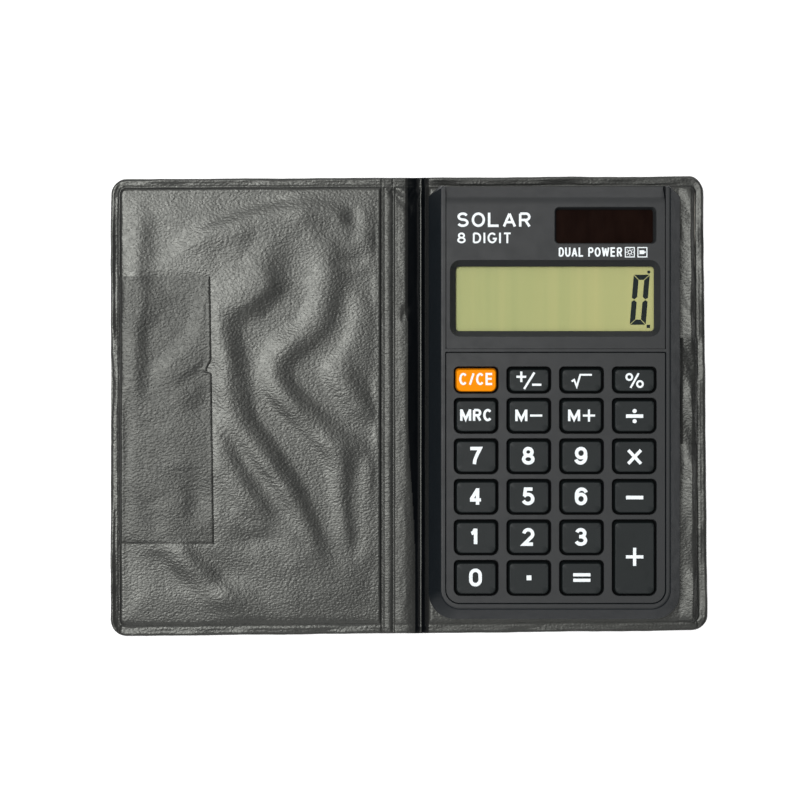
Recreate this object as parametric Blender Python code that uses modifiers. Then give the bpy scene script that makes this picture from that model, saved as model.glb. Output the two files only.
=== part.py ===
"""Pocket calculator lying in its open, book-style vinyl wallet.

The frame: +X runs from the wallet's empty left panel to the calculator, +Y towards the display end,
+Z up from the surface that the wallet lies on. The origin is under the middle of the open wallet.
The wallet's spine turns up about the crease beside the calculator, and the left panel turns over
about the other crease. Each key slides down into the case on the rubber mat's dome.
"""

import math

import bmesh
import bpy
from mathutils import Matrix, Vector

MM = 0.001

# Wallet: an outer sheet, a board and a lining in each panel, welded together around the edge
WALLET_X = (-69.2 * MM, 69.2 * MM)
WALLET_Y = (-52.7 * MM, 52.7 * MM)
CREASE_LEFT = -6.4 * MM
CREASE_RIGHT = 3.8 * MM
CREASE_GAP = 0.2 * MM
OUTER_SHEET = 0.4 * MM
WELD_BAND = 2.0 * MM
WELD_TOP = 0.8 * MM
LINING_TOP = 1.5 * MM
LINING_THICKNESS = 0.3 * MM
BOARD_Z = (0.5 * MM, 1.1 * MM)
WALLET_CORNER = 3.8 * MM
CREASE_CORNER = 0.3 * MM
SHEET_GAP = 0.1 * MM
TAB_THICKNESS = 0.25 * MM
CARD_TAB_Y = (-31.9 * MM, 29.8 * MM)
CARD_TAB_EDGE = -45.4 * MM
RETAINING_TAB_Y = (-8.8 * MM, 15.6 * MM)
RETAINING_TAB_EDGE = 45.0 * MM

# Calculator: the largest outline, then the heights of its layers above the surface below the wallet
CASE_X = (4.5 * MM, 61.9 * MM)
CASE_Y = (-48.8 * MM, 50.2 * MM)
CASE_FOOT_CORNER = 6.0 * MM
CASE_HEAD_CHAMFER = 2.4 * MM
CASE_WALL = 2.4 * MM
REAR_BOTTOM = 1.7 * MM
REAR_FLOOR = 3.7 * MM
REAR_TOP = 4.4 * MM
HOUSING_BOTTOM = 4.6 * MM
HOUSING_SHOULDER = 5.6 * MM
HOUSING_TOP = 9.2 * MM
RIM_SLOPE_WIDTH = 2.7 * MM
LEDGE_TOP = 7.8 * MM
LEDGE_BOTTOM = 6.9 * MM
SLOT_Z = (2.35 * MM, 3.05 * MM)

# The pocket that the two front panels sit in, and the ledge under their edges
POCKET_X = (8.2 * MM, 58.2 * MM)
POCKET_FOOT = -44.95 * MM
POCKET_CORNER = 3.2 * MM
DIVIDER_Y = (12.15 * MM, 12.8 * MM)
LEDGE_WIDTH = 1.2 * MM
PANEL_GAP = 0.12 * MM
PANEL_THICKNESS = 1.15 * MM
PANEL_BOTTOM = 7.9 * MM
LIP_START = 46.6 * MM
LIP_END = (50.0 * MM, 5.4 * MM)

# Display and solar cell, with their openings in the fascia as (x0, y0, x1, y1)
DISPLAY_RIM = (9.3 * MM, 15.7 * MM, 56.9 * MM, 32.95 * MM)
DISPLAY_WINDOW = (10.6 * MM, 16.95 * MM, 55.6 * MM, 31.6 * MM)
SOLAR_RIM = (33.0 * MM, 36.7 * MM, 56.0 * MM, 45.0 * MM)
SOLAR_WINDOW = (33.4 * MM, 36.95 * MM, 55.4 * MM, 44.5 * MM)

# Keys: column and row centres, and the opening around each keycap
COLUMN_PITCH = 11.95 * MM
COLUMN_CENTRE = 33.1 * MM
FIRST_ROW = 5.8 * MM
SECOND_ROW = -2.3 * MM
ROW_PITCH = 9.19 * MM
OPENING_WIDTH = 10.05 * MM
OPENING_DEPTH = 8.05 * MM
OPENING_DEPTH_FIRST_ROW = 6.05 * MM
CAP_CLEARANCE = 0.24 * MM
CAP_TAPER = 0.36 * MM
FLANGE_OVERHANG = 0.38 * MM
FLANGE_Z = (7.2 * MM, 7.75 * MM)
KEY_TOP = 9.7 * MM
CORNER_HEAD = 0.7 * MM
CORNER_FOOT = 1.3 * MM

# Inside: circuit board, rubber mat, coin cell and screws
BOARD_BOTTOM = 4.5 * MM
BOARD_TOP = 5.3 * MM
MAT_BOTTOM = 5.4 * MM
MAT_TOP = 5.9 * MM
DOME_TOP = 7.05 * MM
DOME_RADIUS = 2.9 * MM
DOME_TOP_RADIUS = 1.9 * MM
DOME_WALL = 0.4 * MM
CELL_CENTRE = (20.0 * MM, 39.4 * MM)
CELL_RADIUS = 5.8 * MM
CELL_Z = (4.1 * MM, 7.15 * MM)
CASE_SCREWS = [(x * MM, y * MM) for y in (-44.9, 44.9) for x in (8.3, 58.1)]
BOARD_SCREWS = [(x * MM, 12.5 * MM) for x in (20.0, 46.2)]
BOSS_RADIUS = 1.5 * MM
POST_RADIUS = 1.15 * MM

ROUND_STEPS = 20
CORNER_STEPS = 4
KEY_CORNER_STEPS = 2

# Each row of keys from the display end, by column from the left; "plus" reaches over the last two rows
KEY_ROWS = [
    ["clear", "plus_minus", "square_root", "percent"],
    ["memory_recall", "memory_minus", "memory_plus", "divide"],
    ["7", "8", "9", "multiply"],
    ["4", "5", "6", "minus"],
    ["1", "2", "3", "plus"],
    ["0", "point", "equals"],
]
LONG_KEY = "plus"


def clear_scene():
    for obj in list(bpy.data.objects):
        bpy.data.objects.remove(obj)


def new_collection(name):
    collection = bpy.data.collections.new(name)
    bpy.context.scene.collection.children.link(collection)
    return collection


clear_scene()
PARTS = new_collection("pocket_calculator")
CUTTERS = new_collection("cutters")


def material(name, colour, roughness, metallic=0.0, transmission=0.0):
    made = bpy.data.materials.new(name)
    made.use_nodes = True
    shader = made.node_tree.nodes["Principled BSDF"]
    shader.inputs["Base Color"].default_value = (*colour, 1.0)
    shader.inputs["Roughness"].default_value = roughness
    shader.inputs["Metallic"].default_value = metallic
    shader.inputs["Transmission Weight"].default_value = transmission
    return made


VINYL = ("vinyl", (0.035, 0.036, 0.036), 0.35)
BOARD = ("grey_board", (0.30, 0.28, 0.25), 0.9)
CASE = ("case_plastic", (0.055, 0.057, 0.060), 0.45)
RIM = ("housing_plastic", (0.020, 0.023, 0.026), 0.35)
KEY = ("key_plastic", (0.038, 0.042, 0.043), 0.5)
CLEAR_KEY = ("clear_key_plastic", (0.95, 0.30, 0.03), 0.5)
LENS = ("display_lens", (0.95, 0.97, 0.95), 0.05)
GLASS = ("display_glass", (0.43, 0.46, 0.20), 0.3)
RUBBER = ("rubber", (0.30, 0.31, 0.32), 0.8)
SOLAR = ("solar_glass", (0.012, 0.007, 0.006), 0.15)
FIBREGLASS = ("circuit_board", (0.05, 0.22, 0.10), 0.5)
RESIN = ("black_resin", (0.01, 0.01, 0.01), 0.4)
STEEL = ("steel", (0.62, 0.62, 0.62), 0.3)
INSULATION = ("wire_insulation", (0.45, 0.03, 0.03), 0.5)


def finish(obj, look, helper=False):
    """Puts an object in its collection, and gives a piece its own material."""
    if helper:
        CUTTERS.objects.link(obj)
        obj.hide_render = True
        obj.display_type = "WIRE"
        return obj
    PARTS.objects.link(obj)
    name, colour, roughness = look
    metallic = 1.0 if look is STEEL else 0.0
    transmission = 1.0 if look is LENS else 0.0
    obj.data.materials.append(material(f"{name}_{obj.name}", colour, roughness, metallic, transmission))
    return obj


def rounded(x0, y0, x1, y1, corners, steps=CORNER_STEPS):
    """A rectangle's outline, anticlockwise, with a radius for each corner: foot left, foot right,
    head right, head left. A negative radius is a straight chamfer with as many points as an arc."""
    radii = corners if isinstance(corners, (tuple, list)) else (corners,) * 4
    places = [(x0, y0, 1, 1, 180), (x1, y0, -1, 1, 270), (x1, y1, -1, -1, 0), (x0, y1, 1, -1, 90)]
    points = []
    for radius, (x, y, inward_x, inward_y, start) in zip(radii, places):
        size = abs(radius)
        centre = Vector((x + inward_x * size, y + inward_y * size))
        turns = [math.radians(start + 90 * step / steps) for step in range(steps + 1)]
        arc = [centre + size * Vector((math.cos(turn), math.sin(turn))) for turn in turns]
        if radius < 0:
            arc = [arc[0].lerp(arc[-1], step / steps) for step in range(steps + 1)]
        points += arc
    return [tuple(point) for point in points]


def circle(x, y, radius, steps=ROUND_STEPS):
    turns = [2 * math.pi * step / steps for step in range(steps)]
    return [(x + radius * math.cos(turn), y + radius * math.sin(turn)) for turn in turns]


def band(points, thickness):
    """The closed outline of a strip bent along points, half its thickness to each side."""
    line = [Vector(point) for point in points]
    ways = [(b - a).normalized() for a, b in zip(line, line[1:])]
    left, right = [], []
    for index, point in enumerate(line):
        before = ways[max(index - 1, 0)]
        after = ways[min(index, len(ways) - 1)]
        middle = (before + after).normalized()
        across = Vector((-middle.y, middle.x))
        reach = thickness / 2 / max(across.dot(Vector((-after.y, after.x))), 0.3)
        left.append(tuple(point + across * reach))
        right.append(tuple(point - across * reach))
    return right + left[::-1]


def plate(name, outlines, low, high, look=None, turn=None, helper=False):
    """A flat piece from 2D outlines, the first the outer edge and the others holes, from low to high
    along its own normal. turn maps its plane: None lies flat, X extrudes along X, Y along Y."""
    curve = bpy.data.curves.new(name, "CURVE")
    curve.dimensions = "2D"
    curve.fill_mode = "BOTH"
    curve.extrude = (high - low) / 2
    for outline in outlines:
        spline = curve.splines.new("POLY")
        spline.points.add(len(outline) - 1)
        for point, place in zip(spline.points, outline):
            point.co = (place[0], place[1], 0, 1)
        spline.use_cyclic_u = True
    obj = bpy.data.objects.new(name, curve)
    middle = (low + high) / 2
    if turn == "X":
        obj.rotation_euler = (math.radians(90), 0, math.radians(90))
        obj.location = (middle, 0, 0)
    elif turn == "Y":
        obj.rotation_euler = (math.radians(90), 0, 0)
        obj.location = (0, middle, 0)
    else:
        obj.location = (0, 0, middle)
    return finish(obj, look, helper)


def as_mesh(obj):
    """The same piece as a mesh, with its caps welded to its sides, so that it can be cut or joined."""
    if obj.type == "MESH":
        return obj
    bpy.context.view_layer.update()
    evaluated = obj.evaluated_get(bpy.context.evaluated_depsgraph_get())
    mesh = bpy.data.meshes.new_from_object(evaluated)
    form = bmesh.new()
    form.from_mesh(mesh)
    bmesh.ops.remove_doubles(form, verts=form.verts, dist=0.001 * MM)
    bmesh.ops.recalc_face_normals(form, faces=form.faces)
    form.to_mesh(mesh)
    form.free()
    name, home, place = obj.name, obj.users_collection[0], obj.matrix_world.copy()
    hidden = obj.hide_render
    bpy.data.objects.remove(obj)
    made = bpy.data.objects.new(name, mesh)
    made.matrix_world = place
    home.objects.link(made)
    if hidden:
        made.hide_render = True
        made.display_type = "WIRE"
    return made


def loft(name, rings, look=None, helper=False, centre=(0, 0, 0)):
    """A closed body through rings of equally many points, each (outline, height), from the first
    ring's cap to the last one's. Its origin is at centre."""
    form = bmesh.new()
    middle = Vector(centre)
    levels = []
    for outline, height in rings:
        levels.append([form.verts.new(Vector((x, y, height)) - middle) for x, y in outline])
    count = len(levels[0])
    for lower, upper in zip(levels, levels[1:]):
        for index in range(count):
            after = (index + 1) % count
            form.faces.new((lower[index], lower[after], upper[after], upper[index]))
    form.faces.new(levels[0][::-1])
    form.faces.new(levels[-1])
    bmesh.ops.recalc_face_normals(form, faces=form.faces)
    mesh = bpy.data.meshes.new(name)
    form.to_mesh(mesh)
    form.free()
    obj = bpy.data.objects.new(name, mesh)
    obj.location = middle
    return finish(obj, look, helper)


def cones(name, shapes, helper=True, look=None, steps=ROUND_STEPS):
    """One object of upright frustums, each (x, y, low, high, radius at low, radius at high)."""
    form = bmesh.new()
    for x, y, low, high, radius_low, radius_high in shapes:
        bmesh.ops.create_cone(
            form,
            cap_ends=True,
            segments=steps,
            radius1=radius_low,
            radius2=radius_high,
            depth=high - low,
            matrix=Matrix.Translation((x, y, (low + high) / 2)),
        )
    mesh = bpy.data.meshes.new(name)
    form.to_mesh(mesh)
    form.free()
    return finish(bpy.data.objects.new(name, mesh), look, helper)


def turned(name, profile, look, location, steps=ROUND_STEPS, turn=(0, 0, 0)):
    """A turned piece: its profile of (radius, height) runs down the outer side from top to bottom."""
    mesh = bpy.data.meshes.new(name)
    edges = [(index, index + 1) for index in range(len(profile) - 1)]
    mesh.from_pydata([(radius, 0, height) for radius, height in profile], edges, [])
    obj = bpy.data.objects.new(name, mesh)
    obj.location = location
    obj.rotation_euler = turn
    screw = obj.modifiers.new("turned", "SCREW")
    screw.axis = "Z"
    screw.steps = steps
    screw.render_steps = steps
    screw.use_merge_vertices = True
    screw.merge_threshold = 0.00001
    screw.use_smooth_shade = True
    return finish(obj, look)


def boolean(obj, other, operation):
    modifier = obj.modifiers.new(f"{operation.lower()}_{other.name}", "BOOLEAN")
    modifier.operation = operation
    modifier.solver = "EXACT"
    modifier.object = other


def cut(obj, *cutters):
    obj = as_mesh(obj)
    for cutter in cutters:
        boolean(obj, as_mesh(cutter), "DIFFERENCE")
    return obj


def joined(obj, *others):
    obj = as_mesh(obj)
    for other in others:
        boolean(obj, as_mesh(other), "UNION")
    return obj


def wire(name, route, radius, look):
    curve = bpy.data.curves.new(name, "CURVE")
    curve.dimensions = "3D"
    curve.bevel_depth = radius
    curve.bevel_resolution = 2
    curve.use_fill_caps = True
    spline = curve.splines.new("POLY")
    spline.points.add(len(route) - 1)
    for point, place in zip(spline.points, route):
        point.co = (*place, 1)
    return finish(bpy.data.objects.new(name, curve), look)


# ---------------------------------------------------------------- wallet


def panel_outline(side, inset=0.0, crease_inset=0.0):
    """A wallet panel's outline: its three outer edges drawn in by inset, its crease by crease_inset."""
    corner = max(WALLET_CORNER - inset, 0.4 * MM)
    low, high = WALLET_Y[0] + inset, WALLET_Y[1] - inset
    if side == "left":
        radii = (corner, CREASE_CORNER, CREASE_CORNER, corner)
        return rounded(WALLET_X[0] + inset, low, CREASE_LEFT - CREASE_GAP - crease_inset, high, radii)
    radii = (CREASE_CORNER, corner, corner, CREASE_CORNER)
    return rounded(CREASE_RIGHT + CREASE_GAP + crease_inset, low, WALLET_X[1] - inset, high, radii)


def wallet_panel(side):
    """One panel: the outer sheet, the board inside it, and the lining whose edge steps down to the weld."""
    plate(f"outer_cover_{side}", [panel_outline(side)], 0, OUTER_SHEET, VINYL)
    plate(f"stiffener_{side}", [panel_outline(side, 3.2 * MM, 1.6 * MM)], *BOARD_Z, BOARD)
    weld_low = OUTER_SHEET + SHEET_GAP
    step = 0.6 * MM
    rings = [
        (panel_outline(side, WELD_BAND + 0.8 * MM, 1.2 * MM), LINING_TOP - LINING_THICKNESS),
        (panel_outline(side, WELD_BAND + 0.4 * MM, 0.8 * MM), weld_low),
        (panel_outline(side), weld_low),
        (panel_outline(side), WELD_TOP),
        (panel_outline(side, WELD_BAND, 0.4 * MM), WELD_TOP),
        (panel_outline(side, WELD_BAND + step, 0.4 * MM + step), LINING_TOP),
    ]
    loft(f"lining_{side}", rings, VINYL)


def spine():
    """The strip between the creases: the outer sheet, and the lining with its padded ridge."""
    left, right = CREASE_LEFT + CREASE_GAP, CREASE_RIGHT - CREASE_GAP
    outline = rounded(left, WALLET_Y[0], right, WALLET_Y[1], CREASE_CORNER)
    plate("outer_cover_spine", [outline], 0, OUTER_SHEET, VINYL)
    low = OUTER_SHEET + SHEET_GAP
    top = 0.85 * MM
    ridge_top = 1.2 * MM
    ridge_left, ridge_right = -3.5 * MM, -0.7 * MM
    slope = 0.5 * MM
    profile = [
        (left, low),
        (right, low),
        (right, top),
        (ridge_right + slope, top),
        (ridge_right, ridge_top),
        (ridge_left, ridge_top),
        (ridge_left - slope, top),
        (left, top),
    ]
    plate("spine_lining", [profile], *WALLET_Y, VINYL, turn="Y")


def slip_tabs():
    """The left panel's tab, which holds a card, and the right one's, which holds the calculator."""
    weld_middle = WELD_TOP + SHEET_GAP + TAB_THICKNESS / 2
    lining_middle = LINING_TOP + SHEET_GAP + TAB_THICKNESS / 2
    weld = WELD_BAND - 0.7 * MM
    rise = WELD_BAND + 0.3 * MM
    left, right = WALLET_X
    card = [
        (left + 0.2 * MM, weld_middle),
        (left + weld, weld_middle),
        (left + rise, lining_middle),
        (CARD_TAB_EDGE, lining_middle),
    ]
    plate("card_tab", [band(card, TAB_THICKNESS)], *CARD_TAB_Y, VINYL, turn="Y")
    slot_middle = sum(SLOT_Z) / 2
    slot_mouth = CASE_X[1] + 0.4 * MM
    retaining = [
        (right - 0.2 * MM, weld_middle),
        (right - weld, weld_middle),
        (right - rise, lining_middle),
        (slot_mouth, slot_middle),
        (RETAINING_TAB_EDGE, slot_middle),
    ]
    plate("retaining_tab", [band(retaining, TAB_THICKNESS)], *RETAINING_TAB_Y, VINYL, turn="Y")


# ---------------------------------------------------------------- calculator case


def case_outline(inset=0.0, head_inset=None, chamfer=CASE_HEAD_CHAMFER):
    """The case's outline drawn in by inset: round at the foot end, chamfered at the head end."""
    head = inset if head_inset is None else head_inset
    foot = CASE_FOOT_CORNER - 0.6 * inset
    x0, x1 = CASE_X[0] + inset, CASE_X[1] - inset
    return rounded(x0, CASE_Y[0] + inset, x1, CASE_Y[1] - head, (foot, foot, -chamfer, -chamfer))


def key_pocket_outline(inset=0.0):
    """The lower front panel's outline, round at the foot corners."""
    foot = POCKET_CORNER - inset
    head = 0.3 * MM
    x0, x1 = POCKET_X[0] + inset, POCKET_X[1] - inset
    return rounded(x0, POCKET_FOOT + inset, x1, DIVIDER_Y[0] - inset, (foot, foot, head, head))


def fascia_line():
    """The middle line of the fascia in Y and Z: flat over the display, then down over the case's head."""
    middle = PANEL_BOTTOM + PANEL_THICKNESS / 2
    start = Vector((LIP_START, PANEL_BOTTOM + PANEL_THICKNESS))
    end = Vector(LIP_END)
    way = (end - start).normalized()
    inward = Vector((way.y, -way.x)) * PANEL_THICKNESS / 2
    bend = start + inward
    bend += way * (bend.y - middle) / -way.y
    return [(DIVIDER_Y[1] + PANEL_GAP, middle), tuple(bend), tuple(end + inward)]


def front_housing():
    """The upper case: a sloped rim around a pocket, a ledge under the two panels, and screw bosses."""
    edge = 0.25 * MM
    head = 0.5 * MM
    rings = [
        (case_outline(), HOUSING_BOTTOM),
        (case_outline(), HOUSING_SHOULDER),
        (case_outline(RIM_SLOPE_WIDTH, head, 0.4 * MM), HOUSING_TOP - edge),
        (case_outline(RIM_SLOPE_WIDTH + edge, head + edge, 0.4 * MM), HOUSING_TOP),
    ]
    housing = loft("front_housing", rings, RIM)
    x0, x1 = CASE_X[0] + CASE_WALL, CASE_X[1] - CASE_WALL
    cavity_head = CASE_Y[1] - 4.0 * MM
    cavity = rounded(x0, CASE_Y[0] + CASE_WALL, x1, cavity_head, (3.6 * MM, 3.6 * MM, 1 * MM, 1 * MM))
    ledge_x0, ledge_x1 = POCKET_X[0] + LEDGE_WIDTH, POCKET_X[1] - LEDGE_WIDTH
    bar = 0.7 * MM
    keys = rounded(ledge_x0, POCKET_FOOT + LEDGE_WIDTH, ledge_x1, DIVIDER_Y[0] - bar, 0.5 * MM)
    display = rounded(ledge_x0, DIVIDER_Y[1] + bar, ledge_x1, 45.4 * MM, 0.5 * MM)
    above = HOUSING_TOP + 1 * MM
    through = LEDGE_BOTTOM - 0.5 * MM
    line = fascia_line()
    away = (Vector(line[2]) - Vector(line[1])).normalized() * 3 * MM
    path = [(DIVIDER_Y[1], line[0][1]), line[1], tuple(Vector(line[2]) + away)]
    under_fascia = band(path, PANEL_THICKNESS + 0.4 * MM)[:len(path)]
    beyond = CASE_Y[1] + 3 * MM
    fascia_room = under_fascia + [(beyond, under_fascia[-1][1]), (beyond, above), (DIVIDER_Y[1], above)]
    cutters = [
        plate("cavity_cutter", [cavity], HOUSING_BOTTOM - 1 * MM, LEDGE_BOTTOM, helper=True),
        plate("key_ledge_cutter", [keys], through, above, helper=True),
        plate("display_ledge_cutter", [display], through, above, helper=True),
        plate("key_pocket_cutter", [key_pocket_outline()], LEDGE_TOP, above, helper=True),
        plate("fascia_cutter", [fascia_room], *POCKET_X, turn="X", helper=True),
    ]
    housing = cut(housing, *cutters)
    into_ledge = LEDGE_BOTTOM + 0.4 * MM
    bosses = [(x, y, REAR_FLOOR + 0.2 * MM, into_ledge, BOSS_RADIUS, BOSS_RADIUS) for x, y in CASE_SCREWS]
    posts = [(x, y, BOARD_TOP + 0.1 * MM, into_ledge, POST_RADIUS, POST_RADIUS) for x, y in BOARD_SCREWS]
    joined(housing, cones("boss_helper", bosses + posts))
    bores = [(x, y, REAR_FLOOR - 1 * MM, 6.6 * MM, 0.85 * MM, 0.85 * MM) for x, y in CASE_SCREWS]
    bores += [(x, y, BOARD_TOP - 1 * MM, 6.8 * MM, 0.7 * MM, 0.7 * MM) for x, y in BOARD_SCREWS]
    cut(housing, cones("boss_bore_cutter", bores))


def rear_cover():
    """The lower case: a shallow tray with a slot for the retaining tab, and a ring for the coin cell."""
    chamfer = 1.4 * MM
    rings = [
        (case_outline(chamfer), REAR_BOTTOM),
        (case_outline(), REAR_BOTTOM + 1.2 * MM),
        (case_outline(), REAR_TOP),
    ]
    cover = loft("rear_cover", rings, RIM)
    slot_y = (RETAINING_TAB_Y[0] - 0.5 * MM, RETAINING_TAB_Y[1] + 0.5 * MM)
    slot = rounded(RETAINING_TAB_EDGE - 1 * MM, slot_y[0], CASE_X[1] + 2 * MM, slot_y[1], 0.5 * MM)
    floor = REAR_FLOOR
    wall = 1.6 * MM
    tray_corners = (3.6 * MM, 3.6 * MM, -2.0 * MM, -2.0 * MM)
    tray = rounded(CASE_X[0] + wall, CASE_Y[0] + wall, CASE_X[1] - wall, CASE_Y[1] - wall, tray_corners)
    hollow = plate("tray_cutter", [tray], floor, REAR_TOP + 1 * MM, helper=True)
    slot_cutter = plate("slot_cutter", [slot], *SLOT_Z, helper=True)
    x, y = CELL_CENTRE
    ring_outlines = [circle(x, y, 6.5 * MM), circle(x, y, 6.0 * MM)]
    ring = plate("cell_ring_helper", ring_outlines, floor - 0.2 * MM, 6.0 * MM, helper=True)
    notch = rounded(x - 2.5 * MM, y - 7.5 * MM, x + 2.5 * MM, y - 4.5 * MM, 0.2 * MM)
    notch_cutter = plate("cell_notch_cutter", [notch], floor + 0.1 * MM, 7 * MM, helper=True)
    sinks = [(x, y, REAR_BOTTOM - 0.2 * MM, 2.8 * MM, 2.0 * MM, 0.95 * MM) for x, y in CASE_SCREWS]
    holes = [(x, y, REAR_BOTTOM - 0.5 * MM, REAR_TOP, 0.95 * MM, 0.95 * MM) for x, y in CASE_SCREWS]
    cover = cut(cover, hollow, slot_cutter)
    joined(cover, ring)
    cut(cover, notch_cutter, cones("sink_cutter", sinks), cones("hole_cutter", holes))


def display_fascia():
    """The upper front panel, bent down over the head end, with its display and solar windows."""
    x0, x1 = POCKET_X[0] + PANEL_GAP, POCKET_X[1] - PANEL_GAP
    fascia = plate("display_fascia", [band(fascia_line(), PANEL_THICKNESS)], x0, x1, CASE, turn="X")
    top = PANEL_BOTTOM + PANEL_THICKNESS
    cutters = []
    for name, rim, window, rim_corner, window_corner in (
        ("display_cutter", DISPLAY_RIM, DISPLAY_WINDOW, 2.3 * MM, 0.8 * MM),
        ("solar_cutter", SOLAR_RIM, SOLAR_WINDOW, 1.0 * MM, 0.6 * MM),
    ):
        rings = [
            (rounded(*window, window_corner), PANEL_BOTTOM - 1 * MM),
            (rounded(*window, window_corner), PANEL_BOTTOM + 0.1 * MM),
            (rounded(*rim, rim_corner), top),
            (rounded(*rim, rim_corner), top + 1 * MM),
        ]
        cutters.append(loft(name, rings, helper=True))
    cut(fascia, *cutters)


# ---------------------------------------------------------------- keys


def key_places():
    """(name, x, y, opening width, opening depth) of each key."""
    places = []
    for row, names in enumerate(KEY_ROWS):
        for column, name in enumerate(names):
            x = COLUMN_CENTRE + (column - 1.5) * COLUMN_PITCH
            y = SECOND_ROW - (row - 1) * ROW_PITCH if row else FIRST_ROW
            depth = OPENING_DEPTH if row else OPENING_DEPTH_FIRST_ROW
            if name == LONG_KEY:
                y -= ROW_PITCH / 2
                depth += ROW_PITCH
            places.append((name, x, y, OPENING_WIDTH, depth))
    return places


def key_outline(x, y, width, depth, grow=0.0):
    """A key's outline, its foot corners rounder than its head corners, each side moved out by grow."""
    half_x, half_y = width / 2 + grow, depth / 2 + grow
    foot = max(CORNER_FOOT + grow, 0.3 * MM)
    head = max(CORNER_HEAD + grow, 0.2 * MM)
    return rounded(x - half_x, y - half_y, x + half_x, y + half_y, (foot, foot, head, head), KEY_CORNER_STEPS)


def keypad_bezel():
    """The lower front panel, a flat plate with an opening for each key."""
    openings = [key_outline(x, y, width, depth) for _, x, y, width, depth in key_places()]
    outlines = [key_pocket_outline(PANEL_GAP)] + openings
    plate("keypad_bezel", outlines, PANEL_BOTTOM, PANEL_BOTTOM + PANEL_THICKNESS, CASE)


def keys():
    """Each keycap with the flange that keeps it under the panel, on an origin at its slide axis."""
    for name, x, y, width, depth in key_places():
        edge = 0.2 * MM
        base, top = -CAP_CLEARANCE, -CAP_CLEARANCE - CAP_TAPER
        rings = [
            (key_outline(x, y, width, depth, FLANGE_OVERHANG), FLANGE_Z[0]),
            (key_outline(x, y, width, depth, FLANGE_OVERHANG), FLANGE_Z[1]),
            (key_outline(x, y, width, depth, base), FLANGE_Z[1]),
            (key_outline(x, y, width, depth, top), KEY_TOP - edge),
            (key_outline(x, y, width, depth, top - edge), KEY_TOP),
        ]
        loft(f"key_{name}", rings, CLEAR_KEY if name == "clear" else KEY, centre=(x, y, FLANGE_Z[0]))


def keypad_mat():
    """The silicone mat: a thin sheet with a hollow dome under each key."""
    x0, x1 = POCKET_X[0] + 1.4 * MM, POCKET_X[1] - 1.6 * MM
    outline = rounded(x0, POCKET_FOOT + 2.05 * MM, x1, 10.4 * MM, 1 * MM)
    mat = plate("keypad_mat", [outline], MAT_BOTTOM, MAT_TOP, RUBBER)
    middle = (MAT_BOTTOM + MAT_TOP) / 2
    domes, hollows = [], []
    for _, x, y, _, _ in key_places():
        domes.append((x, y, middle, DOME_TOP, DOME_RADIUS, DOME_TOP_RADIUS))
        inner_low, inner_high = DOME_RADIUS - DOME_WALL, DOME_TOP_RADIUS - DOME_WALL
        hollows.append((x, y, MAT_BOTTOM - 0.3 * MM, DOME_TOP - DOME_WALL, inner_low, inner_high))
    steps = 10
    mat = joined(mat, cones("dome_helper", domes, steps=steps))
    cut(mat, cones("dome_cutter", hollows, steps=steps))


# ---------------------------------------------------------------- inside the case


def display_stack():
    """The clear lens under the fascia, the liquid crystal glass, and the rubber strip that connects it."""
    x0, x1 = 9.8 * MM, 56.4 * MM
    plate("display_lens", [rounded(x0, 16.1 * MM, x1, 32.4 * MM, 0.8 * MM)], 7.4 * MM, 7.8 * MM, LENS)
    plate("display_glass", [rounded(x0, 14.6 * MM, x1, 32.6 * MM, 0.2 * MM)], 6.1 * MM, 7.3 * MM, GLASS)
    strip = rounded(12 * MM, 14.9 * MM, 54 * MM, 16.3 * MM, 0.2 * MM)
    plate("zebra_strip", [strip], BOARD_TOP + SHEET_GAP, 6.0 * MM, RUBBER)


def solar_cell():
    """The cell under its window, and the two wires from its back to the board."""
    cell = rounded(32.4 * MM, 36.1 * MM, 56.4 * MM, 45.1 * MM, 0.3 * MM)
    plate("solar_cell", [cell], 6.7 * MM, 7.8 * MM, SOLAR)
    for name, x in (("solar_wire_positive", 47 * MM), ("solar_wire_negative", 51 * MM)):
        low, high = BOARD_TOP + 0.35 * MM, 6.35 * MM
        y = 38 * MM
        route = []
        for step in range(9):
            share = step / 8
            rise = (1 - math.cos(math.pi * share)) / 2
            route.append((x, y + 4 * MM * share, low + (high - low) * rise))
        wire(name, route, 0.25 * MM, INSULATION)


def circuit_board():
    """The board, narrower at the head end to leave room for the coin cell, and what is soldered to it."""
    x0, x1, y0 = 9.4 * MM, 56.4 * MM, -43.0 * MM
    cell_side, display_top, head = 27.2 * MM, 32.6 * MM, 44.2 * MM
    outline = [(x0, y0), (x1, y0), (x1, head), (cell_side, head), (cell_side, display_top), (x0, display_top)]
    holes = [circle(x, y, 0.8 * MM, 12) for x, y in BOARD_SCREWS]
    plate("circuit_board", [outline] + holes, BOARD_BOTTOM, BOARD_TOP, FIBREGLASS)
    blob = [(0, 0.75 * MM), (2.5 * MM, 0.75 * MM), (4.0 * MM, 0.6 * MM), (4.6 * MM, 0.1 * MM), (0, 0.1 * MM)]
    turned("logic_chip", blob, RESIN, (33 * MM, -8 * MM, BOARD_BOTTOM), turn=(math.pi, 0, 0))
    radius, length = 1.1 * MM, 5.5 * MM
    can = [(0, length), (radius - 0.15 * MM, length), (radius, length - 0.15 * MM), (radius, 0), (0, 0)]
    along_y = (math.radians(-90), 0, 0)
    turned("capacitor", can, RESIN, (29.6 * MM, 36 * MM, BOARD_TOP + 0.1 * MM + radius), 12, along_y)


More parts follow.
